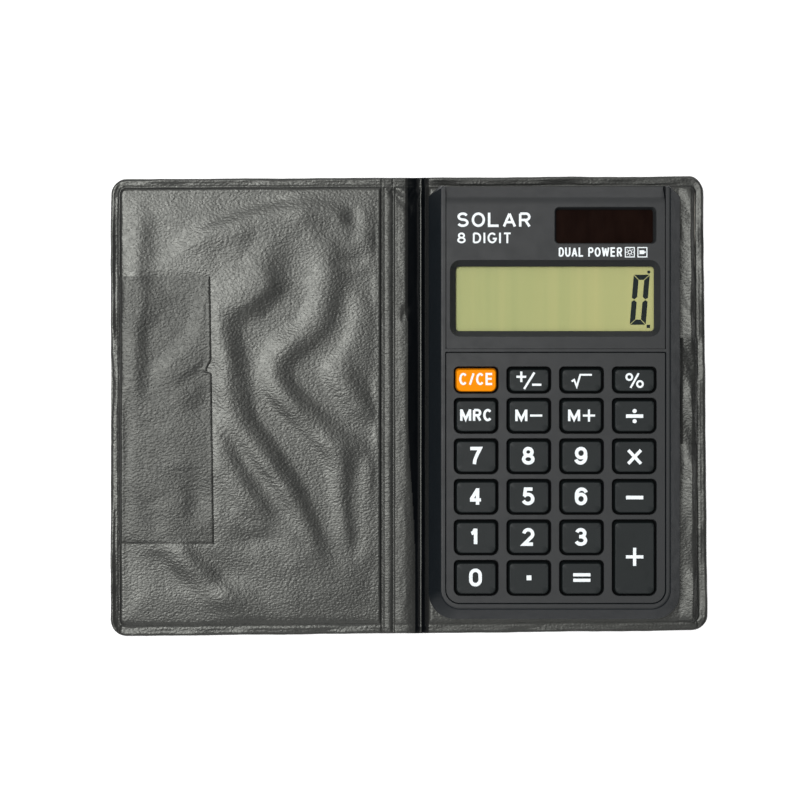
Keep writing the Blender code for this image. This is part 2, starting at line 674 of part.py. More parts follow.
def coin_cell():
    """The button cell, and the two spring strips that reach from it to the board."""
    x, y = CELL_CENTRE
    low, high = CELL_Z
    height = high - low
    lip = 0.35 * MM
    profile = [
        (0, height),
        (CELL_RADIUS - lip, height),
        (CELL_RADIUS, height - lip),
        (CELL_RADIUS, 0.5 * MM),
        (CELL_RADIUS - 0.9 * MM, 0.3 * MM),
        (CELL_RADIUS - 0.9 * MM, 0),
        (0, 0),
    ]
    turned("coin_cell", profile, STEEL, (x, y, low), 28)
    half_width = 1.8 * MM
    thickness = 0.15 * MM
    under, over = low - 0.15 * MM, high + 0.2 * MM
    board_edge = 32.6 * MM
    solder = board_edge - 2.6 * MM
    negative = [
        (y + 3.6 * MM, under),
        (board_edge + 1.4 * MM, under),
        (board_edge, BOARD_BOTTOM - 0.15 * MM),
        (solder, BOARD_BOTTOM - 0.15 * MM),
    ]
    leg = board_edge + 0.5 * MM
    positive = [
        (y + 3.6 * MM, over),
        (leg, over),
        (leg, BOARD_TOP + 0.2 * MM),
        (solder, BOARD_TOP + 0.2 * MM),
    ]
    for name, line in (("contact_negative", negative), ("contact_positive", positive)):
        plate(name, [band(line, thickness)], x - half_width, x + half_width, STEEL, turn="X")


def cross(x, y, reach, half_width):
    """A plus-shaped outline with slightly tapered arms, for a screw's driver recess."""
    tip = 0.8 * half_width
    points = []
    for quarter in range(4):
        turn = Matrix.Rotation(math.radians(90 * quarter), 2)
        for corner in ((reach, tip), (half_width, half_width), (tip, reach)):
            points.append(tuple(Vector((x, y)) + turn @ Vector(corner)))
    return points


def screws():
    """Countersunk screws through the rear cover, and pan-head screws that hold the board, heads down."""
    head_low = REAR_BOTTOM + 0.2 * MM
    long_profile = [(0, 4.4 * MM), (0.7 * MM, 4.2 * MM), (0.7 * MM, 0.8 * MM), (1.5 * MM, 0), (0, 0)]
    short_profile = [(0, 2.7 * MM), (0.55 * MM, 2.5 * MM), (0.55 * MM, 0.5 * MM)]
    short_profile += [(1.2 * MM, 0.5 * MM), (1.2 * MM, 0.1 * MM), (1.0 * MM, 0), (0, 0)]
    board_head_low = BOARD_BOTTOM - 0.6 * MM
    kinds = (
        ("case_screw", CASE_SCREWS, long_profile, head_low, 0.9 * MM),
        ("board_screw", BOARD_SCREWS, short_profile, board_head_low, 0.7 * MM),
    )
    for kind, places, profile, low, reach in kinds:
        for number, (x, y) in enumerate(places, 1):
            screw = turned(f"{kind}_{number}", profile, STEEL, (x, y, low), 12)
            outline = cross(x, y, reach, 0.2 * MM)
            recess = plate(f"{kind}_{number}_recess", [outline], low - 1 * MM, low + 0.3 * MM, helper=True)
            boolean(screw, as_mesh(recess), "DIFFERENCE")


wallet_panel("left")
wallet_panel("right")
spine()
slip_tabs()
front_housing()
rear_cover()
display_fascia()
keypad_bezel()
keys()
keypad_mat()
display_stack()
solar_cell()
circuit_board()
coin_cell()
screws()
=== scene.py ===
"""Looks of a pocket calculator lying in its open, book-style vinyl wallet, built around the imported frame.

Every piece is modelled in millimetres and scaled to metres when it is finished. Places come from the
boxes of the frame's nodes. +X runs from the empty panel to the calculator, +Y towards the display.
"""

import math

import bmesh
import bpy
import numpy as np
from mathutils import Matrix, Vector, noise


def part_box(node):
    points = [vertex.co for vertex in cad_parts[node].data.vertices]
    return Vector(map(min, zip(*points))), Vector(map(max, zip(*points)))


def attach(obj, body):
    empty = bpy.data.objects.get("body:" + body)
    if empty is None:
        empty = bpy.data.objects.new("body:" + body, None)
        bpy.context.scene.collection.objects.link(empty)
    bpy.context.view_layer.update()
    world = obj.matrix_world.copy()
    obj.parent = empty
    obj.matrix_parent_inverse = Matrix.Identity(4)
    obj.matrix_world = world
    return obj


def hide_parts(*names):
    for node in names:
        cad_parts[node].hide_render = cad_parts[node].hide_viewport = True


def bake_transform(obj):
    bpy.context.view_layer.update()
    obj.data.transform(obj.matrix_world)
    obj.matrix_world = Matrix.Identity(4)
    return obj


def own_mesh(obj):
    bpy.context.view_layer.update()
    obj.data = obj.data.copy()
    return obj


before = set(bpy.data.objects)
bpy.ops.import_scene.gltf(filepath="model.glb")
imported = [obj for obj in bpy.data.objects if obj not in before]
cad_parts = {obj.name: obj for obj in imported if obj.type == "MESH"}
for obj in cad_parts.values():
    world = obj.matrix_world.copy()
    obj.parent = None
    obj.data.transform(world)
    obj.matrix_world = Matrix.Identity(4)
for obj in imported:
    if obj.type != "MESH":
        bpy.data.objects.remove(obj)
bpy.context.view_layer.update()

MM = 0.001


def box(node):
    """A node's lowest and highest corners at rest, in millimetres."""
    low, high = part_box(node)
    return [value / MM for value in low], [value / MM for value in high]


# ---------------------------------------------------------------- driving sizes, in millimetres

# The wallet's sheets, the height of its creases' axes, and the X where its sheets meet in the spine
SHEET = 0.4
LINING_THICKNESS = 0.25
TAB_THICKNESS = 0.25
TAB_GAP = 0.1
HINGE_HEIGHT = 0.8
SPLIT = -1.3
WALLET_CORNER = 3.8

WALLET_X = (box("outer_cover_left")[0][0], box("outer_cover_right")[1][0])
WALLET_Y = (box("outer_cover_left")[0][1], box("outer_cover_left")[1][1])
CREASE_LEFT = (box("outer_cover_left")[1][0] + box("outer_cover_spine")[0][0]) / 2
CREASE_RIGHT = (box("outer_cover_spine")[1][0] + box("outer_cover_right")[0][0]) / 2

CASE_HIGH = box("front_housing")[1]
REAR_LOW, REAR_HIGH = box("rear_cover")
PANEL_LOW, PANEL_HIGH = box("keypad_bezel")
FASCIA_LOW, FASCIA_HIGH = box("display_fascia")
HOUSING_TOP = CASE_HIGH[2]
HOUSING_BOTTOM = HOUSING_TOP - 4.6
SHOULDER = HOUSING_BOTTOM + 1.0
SLOPE_WIDTH = 2.7
HEAD_SLOPE = 0.5
FOOT_CORNER = 6.0
HEAD_CHAMFER = 2.4
HOUSING_WALL = 2.4
HEAD_WALL = 4.0
LEDGE_WIDTH = 1.2
LEDGE_Z = (6.9, 7.8)
DISPLAY_LEDGE_HEAD = 45.4
DIVIDER_BAR = 0.7
REAR_WALL = 1.6
REAR_FLOOR = 3.7
REAR_TOP = 4.4
SLOT_X = (44.0, 64.0)
SLOT_Z = (2.35, 3.05)
PANEL_BOTTOM = PANEL_LOW[2]
PANEL_TOP = PANEL_HIGH[2]
PANEL_GAP = 0.08
PANEL_EDGE = 0.11
POCKET_CORNER = 3.2
DIVIDER = (PANEL_HIGH[1] + PANEL_GAP, FASCIA_LOW[1] - PANEL_GAP)
# The bend of the upper panel over the case's head starts at this Y, and its lip ends at this Y and Z
LIP_START = 46.6
LIP_END = (50.0, 5.4)
FASCIA_ROOM = 0.4
FLANGE_OVERHANG = 0.38

# Rims and windows as X and Y of the lower left and upper right corners
DISPLAY_RIM = (9.3, 15.7, 56.9, 32.95)
DISPLAY_WINDOW = (10.6, 16.95, 55.6, 31.6)
SOLAR_RIM = (33.0, 36.7, 56.0, 45.0)
SOLAR_WINDOW = (33.4, 36.95, 55.4, 44.5)


# ---------------------------------------------------------------- materials


class Look:
    """A Principled material whose colour, roughness and bump come from procedural nodes."""

    def __init__(self, name, coordinates="object", **sockets):
        self.material = bpy.data.materials.new(name)
        self.material.use_nodes = True
        self.nodes = self.material.node_tree.nodes
        self.links = self.material.node_tree.links
        self.shader = self.nodes["Principled BSDF"]
        for socket, value in sockets.items():
            self.shader.inputs[socket.replace("_", " ")].default_value = value
        if coordinates == "rest":
            attribute = self.add("ShaderNodeAttribute")
            attribute.attribute_name = "rest"
            self.place = attribute.outputs["Vector"]
        else:
            self.place = self.add("ShaderNodeTexCoord").outputs["Object"]
        self.bumped = None

    def add(self, kind, **properties):
        node = self.nodes.new(kind)
        for name, value in properties.items():
            setattr(node, name, value)
        return node

    def stretched(self, scale):
        """The place with each axis scaled, for streaks and lines."""
        mapping = self.add("ShaderNodeMapping")
        mapping.inputs["Scale"].default_value = scale
        self.links.new(self.place, mapping.inputs["Vector"])
        return mapping.outputs["Vector"]

    def noise(self, size, detail=3.0, distortion=0.0, place=None):
        """Soft noise whose blotches are about size millimetres across."""
        node = self.add("ShaderNodeTexNoise")
        node.inputs["Scale"].default_value = 1 / (size * MM)
        node.inputs["Detail"].default_value = detail
        node.inputs["Distortion"].default_value = distortion
        self.links.new(place or self.place, node.inputs["Vector"])
        return node.outputs["Fac"]

    def cells(self, size, feature="SMOOTH_F1", place=None):
        """Rounded cells about size millimetres across."""
        node = self.add("ShaderNodeTexVoronoi", feature=feature)
        node.inputs["Scale"].default_value = 1 / (size * MM)
        self.links.new(place or self.place, node.inputs["Vector"])
        return node.outputs["Distance"]

    def ranged(self, value, low, high, start=0.0, end=1.0):
        node = self.add("ShaderNodeMapRange")
        node.inputs["From Min"].default_value = low
        node.inputs["From Max"].default_value = high
        node.inputs["To Min"].default_value = start
        node.inputs["To Max"].default_value = end
        self.links.new(value, node.inputs["Value"])
        return node.outputs["Result"]

    def maths(self, operation, first, second):
        node = self.add("ShaderNodeMath", operation=operation)
        for socket, value in zip(node.inputs, (first, second)):
            if isinstance(value, (int, float)):
                socket.default_value = value
            else:
                self.links.new(value, socket)
        return node.outputs["Value"]

    def along(self, axis):
        """One coordinate of the place, in metres."""
        node = self.add("ShaderNodeSeparateXYZ")
        self.links.new(self.place, node.inputs["Vector"])
        return node.outputs[axis]

    def ramp(self, factor, stops):
        """A colour between stops of (position, colour)."""
        node = self.add("ShaderNodeValToRGB")
        elements = node.color_ramp.elements
        while len(elements) < len(stops):
            elements.new(0.5)
        for element, (position, colour) in zip(elements, stops):
            element.position = position
            element.color = (*colour, 1.0)
        self.links.new(factor, node.inputs["Fac"])
        return node.outputs["Color"]

    def colour(self, factor, *stops):
        self.links.new(self.ramp(factor, stops), self.shader.inputs["Base Color"])
        return self

    def roughness(self, factor, low, high, span=(0.3, 0.7)):
        self.links.new(self.ranged(factor, *span, low, high), self.shader.inputs["Roughness"])
        return self

    def bump(self, height, distance, strength=1.0):
        """Adds a relief of distance millimetres to the normals, on top of any before it."""
        node = self.add("ShaderNodeBump")
        node.inputs["Strength"].default_value = strength
        node.inputs["Distance"].default_value = distance * MM
        self.links.new(height, node.inputs["Height"])
        if self.bumped:
            self.links.new(self.bumped, node.inputs["Normal"])
        self.bumped = node.outputs["Normal"]
        self.links.new(self.bumped, self.shader.inputs["Normal"])
        return self


def plastic(name, colour, roughness, specular=0.5, grain=0.12, relief=0.004, variation=0.12, worn=0.0):
    """Moulded plastic: fine spark-eroded texture, faint blotches, and a trace of lighter scuffs."""
    look = Look(name, Specular_IOR_Level=specular)
    blotches = look.noise(6.0, 4.0)
    dark = tuple(value * (1 - variation) for value in colour)
    light = tuple(value * (1 + variation) for value in colour)
    scuffed = tuple(value * (1 + variation) + worn for value in colour)
    factor = look.ranged(blotches, 0.25, 0.75, 0.0, 0.75)
    if worn:
        specks = look.ranged(look.noise(0.55, 2.0), 0.72, 0.80, 0.0, 0.25)
        factor = look.maths("ADD", factor, specks)
    look.colour(factor, (0.0, dark), (0.75, light), (1.0, scuffed))
    look.roughness(look.noise(2.5, 4.0), roughness - 0.05, roughness + 0.07)
    look.bump(look.noise(grain, 2.0), relief)
    return look.material


def vinyl(name, specular=0.5, in_spine=False):
    """Soft black vinyl with a fine leather grain. The lining's spine has fine cross ridges pressed into
    its weld strip, and is smooth in the valley beside the calculator, where it is coloured nearly black as
    painted shade."""
    look = Look(name, coordinates="rest", Specular_IOR_Level=specular, Specular_Tint=(0.985, 1.0, 0.93, 1.0))
    pebbles = look.maths("SUBTRACT", 1.0, look.cells(0.60, place=look.stretched((1.0, 1.5, 1.0))))
    fine = look.noise(0.40, 2.0, 0.4)
    creases = look.noise(1.6, 5.0, 1.4)
    patches = look.noise(9.0, 3.0)
    shade = look.maths("ADD", look.ranged(patches, 0.3, 0.7, 0.1, 0.5), look.ranged(fine, 0.3, 0.7, 0.0, 0.5))
    if in_spine:
        # The valley mask paints shade in the spine beside the calculator: it takes the tone to near black,
        # over a strip that narrows towards the foot.
        across = look.along("X")
        footward = look.ranged(look.along("Y"), -2.0 * MM, -34.0 * MM, 0.0, 1.7 * MM)
        valley = look.maths(
            "MULTIPLY",
            look.ranged(look.maths("SUBTRACT", across, footward), -0.9 * MM, -0.2 * MM),
            look.ranged(across, 4.6 * MM, 3.9 * MM),
        )
        shade = look.maths("MULTIPLY", shade, look.ranged(valley, 0.0, 1.0, 1.0, 0.0))
    # The near-black first stop is reached only under the valley mask, as painted shade.
    look.colour(
        shade,
        (0.0, (0.0012, 0.0018, 0.0026)),
        (0.10, (0.012, 0.0125, 0.0125)),
        (0.55, (0.017, 0.0175, 0.017)),
        (1.0, (0.027, 0.027, 0.025)),
    )
    roughness = look.ranged(creases, 0.3, 0.7, 0.24, 0.34)
    if in_spine:
        duller = look.ranged(across, -7.2 * MM, -6.4 * MM, 0.0, 0.08)
        roughness = look.maths("ADD", roughness, duller)
    look.links.new(roughness, look.shader.inputs["Roughness"])
    relief = look.maths("ADD", look.maths("MULTIPLY", pebbles, 0.62), look.maths("MULTIPLY", fine, 0.38))
    if in_spine:
        relief = look.maths("MULTIPLY", relief, look.ranged(valley, 0.0, 1.0, 1.0, 0.15))
    look.bump(relief, 0.085)
    if in_spine:
        knurl = look.maths(
            "MULTIPLY",
            look.ranged(across, -5.75 * MM, -5.6 * MM),
            look.ranged(across, -3.75 * MM, -3.9 * MM),
        )
        ridges = look.noise(0.5, 2.0, place=look.stretched((0.12, 1.0, 1.0)))
        look.bump(look.maths("MULTIPLY", knurl, ridges), 0.12)
    return look.material


def legend_ink(name):
    look = Look(name, Specular_IOR_Level=0.3)
    look.colour(look.noise(0.5, 2.0), (0.3, (0.78, 0.84, 0.86)), (0.7, (0.90, 0.95, 0.97)))
    look.roughness(look.noise(0.8), 0.45, 0.6)
    look.bump(look.noise(0.2), 0.003)
    return look.material


def liquid_crystal(name):
    """The display's reflector: greenish grey with faint upright bands, lighter and yellower towards its right
    as painted shading.
    """
    look = Look(name, Specular_IOR_Level=0.2)
    bands = look.noise(3.0, 2.0, place=look.stretched((1.0, 0.03, 1.0)))
    # Lighter and yellower towards the right: painted shading across the window.
    across = look.ranged(look.along("X"), 12.0 * MM, 55.0 * MM, 0.0, 0.55)
    factor = look.maths("ADD", across, look.ranged(bands, 0.3, 0.7, 0.0, 0.45))
    look.colour(factor, (0.0, (0.390, 0.428, 0.168)), (1.0, (0.520, 0.505, 0.205)))
    look.roughness(look.noise(1.5), 0.35, 0.5)
    look.bump(look.noise(0.15, 1.0), 0.002)
    return look.material


def solar_film(name):
    """Brown-black amorphous silicon behind glass, with faint upright streaks."""
    look = Look(name, Specular_IOR_Level=0.015)
    streaks = look.noise(2.0, 3.0, place=look.stretched((1.0, 0.3, 1.0)))
    look.colour(streaks, (0.3, (0.0070, 0.0032, 0.0024)), (0.7, (0.0105, 0.0050, 0.0036)))
    look.roughness(look.noise(3.0), 0.12, 0.22)
    return look.material


def clear_lens(name):
    """Clear acrylic, nearly invisible over what it covers."""
    look = Look(name, Specular_IOR_Level=0.1, Alpha=0.06, Roughness=0.06)
    look.colour(look.noise(4.0), (0.3, (0.10, 0.11, 0.10)), (0.7, (0.13, 0.14, 0.13)))
    look.roughness(look.noise(5.0), 0.04, 0.10)
    return look.material


def metal(name, colour, roughness=0.28):
    """Plated steel, brushed along X."""
    look = Look(name, Metallic=1.0)
    brushed = look.noise(0.4, 4.0, place=look.stretched((0.08, 1.0, 1.0)))
    dark = tuple(value * 0.8 for value in colour)
    look.colour(brushed, (0.3, dark), (0.7, colour))
    look.roughness(brushed, roughness - 0.06, roughness + 0.1)
    look.bump(brushed, 0.003)
    return look.material


def fibreglass(name):
    """Green solder mask with lighter copper runs under it."""
    look = Look(name, Specular_IOR_Level=0.5)
    runs = look.ranged(look.cells(2.2, "F1"), 0.36, 0.42)
    look.colour(runs, (0.0, (0.016, 0.10, 0.035)), (1.0, (0.03, 0.16, 0.06)))
    look.roughness(look.noise(1.5), 0.3, 0.5)
    look.bump(runs, 0.02)
    return look.material


def greyboard(name):
    """Recycled card with short fibres and flecks."""
    look = Look(name, Specular_IOR_Level=0.1)
    fibres = look.noise(0.8, 5.0, 1.5)
    look.colour(fibres, (0.3, (0.20, 0.185, 0.165)), (0.5, (0.28, 0.26, 0.23)), (0.7, (0.36, 0.34, 0.30)))
    look.roughness(fibres, 0.85, 0.95)
    look.bump(fibres, 0.04)
    return look.material


def rubber(name, colour, size=0.8):
    look = Look(name, Specular_IOR_Level=0.3)
    blotches = look.noise(size, 4.0)
    look.colour(blotches, (0.3, tuple(v * 0.85 for v in colour)), (0.7, colour))
    look.roughness(blotches, 0.55, 0.75)
    look.bump(look.noise(0.15), 0.004)
    return look.material


# The lining's own look also carries the spine's painted valley shade.
LINING_LOOK = vinyl("lining_vinyl", 0.56, in_spine=True)
OUTER_LOOK = vinyl("outer_vinyl", 0.56)
TAB_LOOK = vinyl("tab_vinyl", 0.36)
# Near-black, nearly unglossy vinyl laid on the spine's valley and gutter as painted shade beside the
# calculator.
VALLEY_SHADE_LOOK = vinyl("valley_painted_shade_vinyl", 0.05, in_spine=True)
# Dark plastic of the rim's slopes and the rear shell; on the front rim its darkness against the lighter flat
# top is painted shade.
RIM_LOOK = plastic("rim_plastic", (0.0048, 0.0070, 0.0092), 0.34, 0.12, 0.10, 0.003, 0.06)
PANEL_LOOK = plastic("panel_plastic", (0.015, 0.0165, 0.0175), 0.46, 0.36, 0.13, 0.008, 0.05, 0.02)
KEY_LOOK = plastic("key_plastic", (0.0085, 0.0115, 0.0118), 0.42, 0.22, 0.12, 0.004, 0.08, 0.012)
# Near-black plastic for every key's flange: painted shade in the deep gap around each keycap.
FLANGE_SHADE_LOOK = plastic("flange_plastic", (0.0022, 0.0026, 0.0030), 0.6, 0.04, 0.15, 0.003, 0.1)
ORANGE_LOOK = plastic("clear_key_plastic", (0.90, 0.27, 0.002), 0.5, 0.03, 0.12, 0.004, 0.02)
INK_LOOK = legend_ink("legend_ink")
SEGMENT_LOOK = plastic("segment_ink", (0.006, 0.012, 0.013), 0.5, 0.02, 0.2, 0.001)
CRYSTAL_LOOK = liquid_crystal("display_glass")
LENS_LOOK = clear_lens("clear_lens")
SOLAR_LOOK = solar_film("solar_glass")
STEEL_LOOK = metal("steel", (0.62, 0.62, 0.60))
BOARD_LOOK = fibreglass("circuit_board")
RESIN_LOOK = plastic("black_resin", (0.008, 0.008, 0.008), 0.3, 0.5, 0.4, 0.01)
CARD_LOOK = greyboard("grey_board")
SILICONE_LOOK = rubber("silicone", (0.33, 0.34, 0.35))
RED_LOOK = plastic("wire_red", (0.45, 0.02, 0.015), 0.4)
BLACK_LOOK = plastic("wire_black", (0.012, 0.012, 0.012), 0.4)
CAPACITOR_LOOK = plastic("capacitor_sleeve", (0.02, 0.03, 0.10), 0.35)


# ---------------------------------------------------------------- shape helpers, in millimetres


def rounded(x0, y0, x1, y1, corners, steps=8):
    """A rectangle's outline, anticlockwise, with a radius for each corner: foot left, foot right,
    head right, head left. A negative radius is a straight chamfer with as many points as an arc."""
    radii = corners if isinstance(corners, (tuple, list)) else (corners,) * 4
    places = [(x0, y0, 1, 1, 180), (x1, y0, -1, 1, 270), (x1, y1, -1, -1, 0), (x0, y1, 1, -1, 90)]
    points = []
    for radius, (x, y, inward_x, inward_y, start) in zip(radii, places):
        size = abs(radius)
        centre = Vector((x + inward_x * size, y + inward_y * size))
        turns = [math.radians(start + 90 * step / steps) for step in range(steps + 1)]
        arc = [centre + size * Vector((math.cos(turn), math.sin(turn))) for turn in turns]
        if radius < 0:
            arc = [arc[0].lerp(arc[-1], step / steps) for step in range(steps + 1)]
        points += arc
    return [tuple(point) for point in points]


def arc(x, y, radius_x, radius_y, start, end, steps=14):
    """Points along an ellipse's arc, from start to end in degrees."""
    turns = [math.radians(start + (end - start) * step / steps) for step in range(steps + 1)]
    return [(x + radius_x * math.cos(turn), y + radius_y * math.sin(turn)) for turn in turns]


def ring(x, y, radius, steps=24):
    """A round outline about x, y."""
    return arc(x, y, radius, radius, 0, 360 - 360 / steps, steps - 1)


def sides(points, thickness, closed=False):
    """The left and right sides of a strip bent along points, mitred at each."""
    line = [Vector(point) for point in points]
    count = len(line)
    left, right = [], []
    for index, point in enumerate(line):
        before = line[index] - line[index - 1] if index or closed else line[1] - line[0]
        after = line[(index + 1) % count] - line[index] if index < count - 1 or closed else before
        before, after = before.normalized(), after.normalized()
        middle = (before + after).normalized()
        across = Vector((-middle.y, middle.x))
        reach = thickness / 2 / max(across.dot(Vector((-after.y, after.x))), 0.35)
        left.append(point + across * reach)
        right.append(point - across * reach)
    return left, right


def band(points, thickness):
    """The closed outline of a strip bent along points."""
    left, right = sides(points, thickness)
    return [tuple(point) for point in right + left[::-1]]


def new_object(name, form):
    bmesh.ops.recalc_face_normals(form, faces=form.faces)
    mesh = bpy.data.meshes.new(name)
    form.to_mesh(mesh)
    form.free()
    obj = bpy.data.objects.new(name, mesh)
    bpy.context.scene.collection.objects.link(obj)
    return obj


def add_loft(form, rings, turn=None):
    """Adds a closed body through rings of (outline, height). turn "X" lays the outlines in Y and Z
    and the heights along X."""
    levels = []
    for outline, height in rings:
        if turn == "X":
            levels.append([form.verts.new((height, y, z)) for y, z in outline])
        else:
            levels.append([form.verts.new((x, y, height)) for x, y in outline])
    count = len(levels[0])
    for lower, upper in zip(levels, levels[1:]):
        for index in range(count):
            after = (index + 1) % count
            form.faces.new((lower[index], lower[after], upper[after], upper[index]))
    form.faces.new(levels[0][::-1])
    form.faces.new(levels[-1])


def loft(name, *bodies, turn=None):
    """One object of closed lofted bodies, each a list of rings."""
    form = bmesh.new()
    for rings in bodies:
        add_loft(form, rings, turn)
    return new_object(name, form)


def combine(obj, other, operation="DIFFERENCE", own_overlaps=False):
    """Cuts other from obj, or joins it on, and removes other."""
    modifier = obj.modifiers.new("combine", "BOOLEAN")
    modifier.operation = operation
    modifier.solver = "EXACT"
    modifier.use_self = own_overlaps
    modifier.object = other
    bpy.context.view_layer.update()
    evaluated = obj.evaluated_get(bpy.context.evaluated_depsgraph_get())
    mesh = bpy.data.meshes.new_from_object(evaluated)
    obj.modifiers.clear()
    obj.data = mesh
    bpy.data.objects.remove(other)
    return obj


def finish(obj, look, body="root", nodes=(), sharp=32, weighted=True):
    """Scales a piece to metres, shades it, gives it its material, and rides it on its body."""
    obj.data.transform(Matrix.Scale(MM, 4))
    obj.data.materials.clear()
    obj.data.materials.append(look)
    obj.data.shade_smooth()
    if sharp:
        obj.data.set_sharp_from_angle(angle=math.radians(sharp))
    if weighted:
        normals = obj.modifiers.new("even_normals", "WEIGHTED_NORMAL")
        normals.keep_sharp = True
    if body:
        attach(obj, body)
    if nodes:
        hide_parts(*nodes)
    return obj


# ---------------------------------------------------------------- wallet


def smooth(value):
    value = np.clip(value, 0.0, 1.0)
    return value * value * (3 - 2 * value)


def profile(knots, where):
    """A smooth curve through knots of (place, height), read at where."""
    places, heights = (np.array(column, float) for column in zip(*knots))
    slopes = np.gradient(heights, places)
    index = np.clip(np.searchsorted(places, where) - 1, 0, len(places) - 2)
    span = places[index + 1] - places[index]
    t = np.clip((where - places[index]) / span, 0, 1)
    rise = (2 * t**3 - 3 * t**2 + 1) * heights[index] + (3 * t**2 - 2 * t**3) * heights[index + 1]
    lean = (t**3 - 2 * t**2 + t) * slopes[index] + (t**3 - t**2) * slopes[index + 1]
    return rise + lean * span


def ripple(x, y, size, seed=0.0):
    """Soft noise from -1 to 1 at arrays of places, with bumps about size across."""
    flat = [
        noise.noise(Vector((a / size, b / size, seed))) for a, b in zip(np.ravel(x), np.ravel(y))
    ]
    return np.array(flat).reshape(np.shape(x))


def curve_through(points, step=0.8):
    """Places about step apart on a smooth curve through points."""
    line = [Vector(point) for point in points]
    line = [2 * line[0] - line[1], *line, 2 * line[-1] - line[-2]]
    places = []
    for a, b, c, d in zip(line, line[1:], line[2:], line[3:]):
        count = max(int((c - b).length / step), 1)
        for index in range(count):
            t = index / count
            bent = t**2 * (2 * a - 5 * b + 4 * c - d) + t**3 * (3 * b - a - 3 * c + d)
            places.append(0.5 * (2 * b + t * (c - a) + bent))
    places.append(line[-2])
    return np.array([tuple(place) for place in places])


def near_line(x, y, width, points):
    """1 on a smooth curve through points, falling to 0 about width away and towards its ends."""
    line = curve_through(points)
    best = np.full(np.shape(x), 1e9)
    share = np.zeros(np.shape(x))
    for index, (a, b) in enumerate(line):
        distance = (x - a) ** 2 + (y - b) ** 2
        closer = distance < best
        best = np.where(closer, distance, best)
        share = np.where(closer, index / (len(line) - 1), share)
    ends = smooth(share / 0.18) * smooth((1 - share) / 0.18)
    return np.exp(-best / width**2) * ends


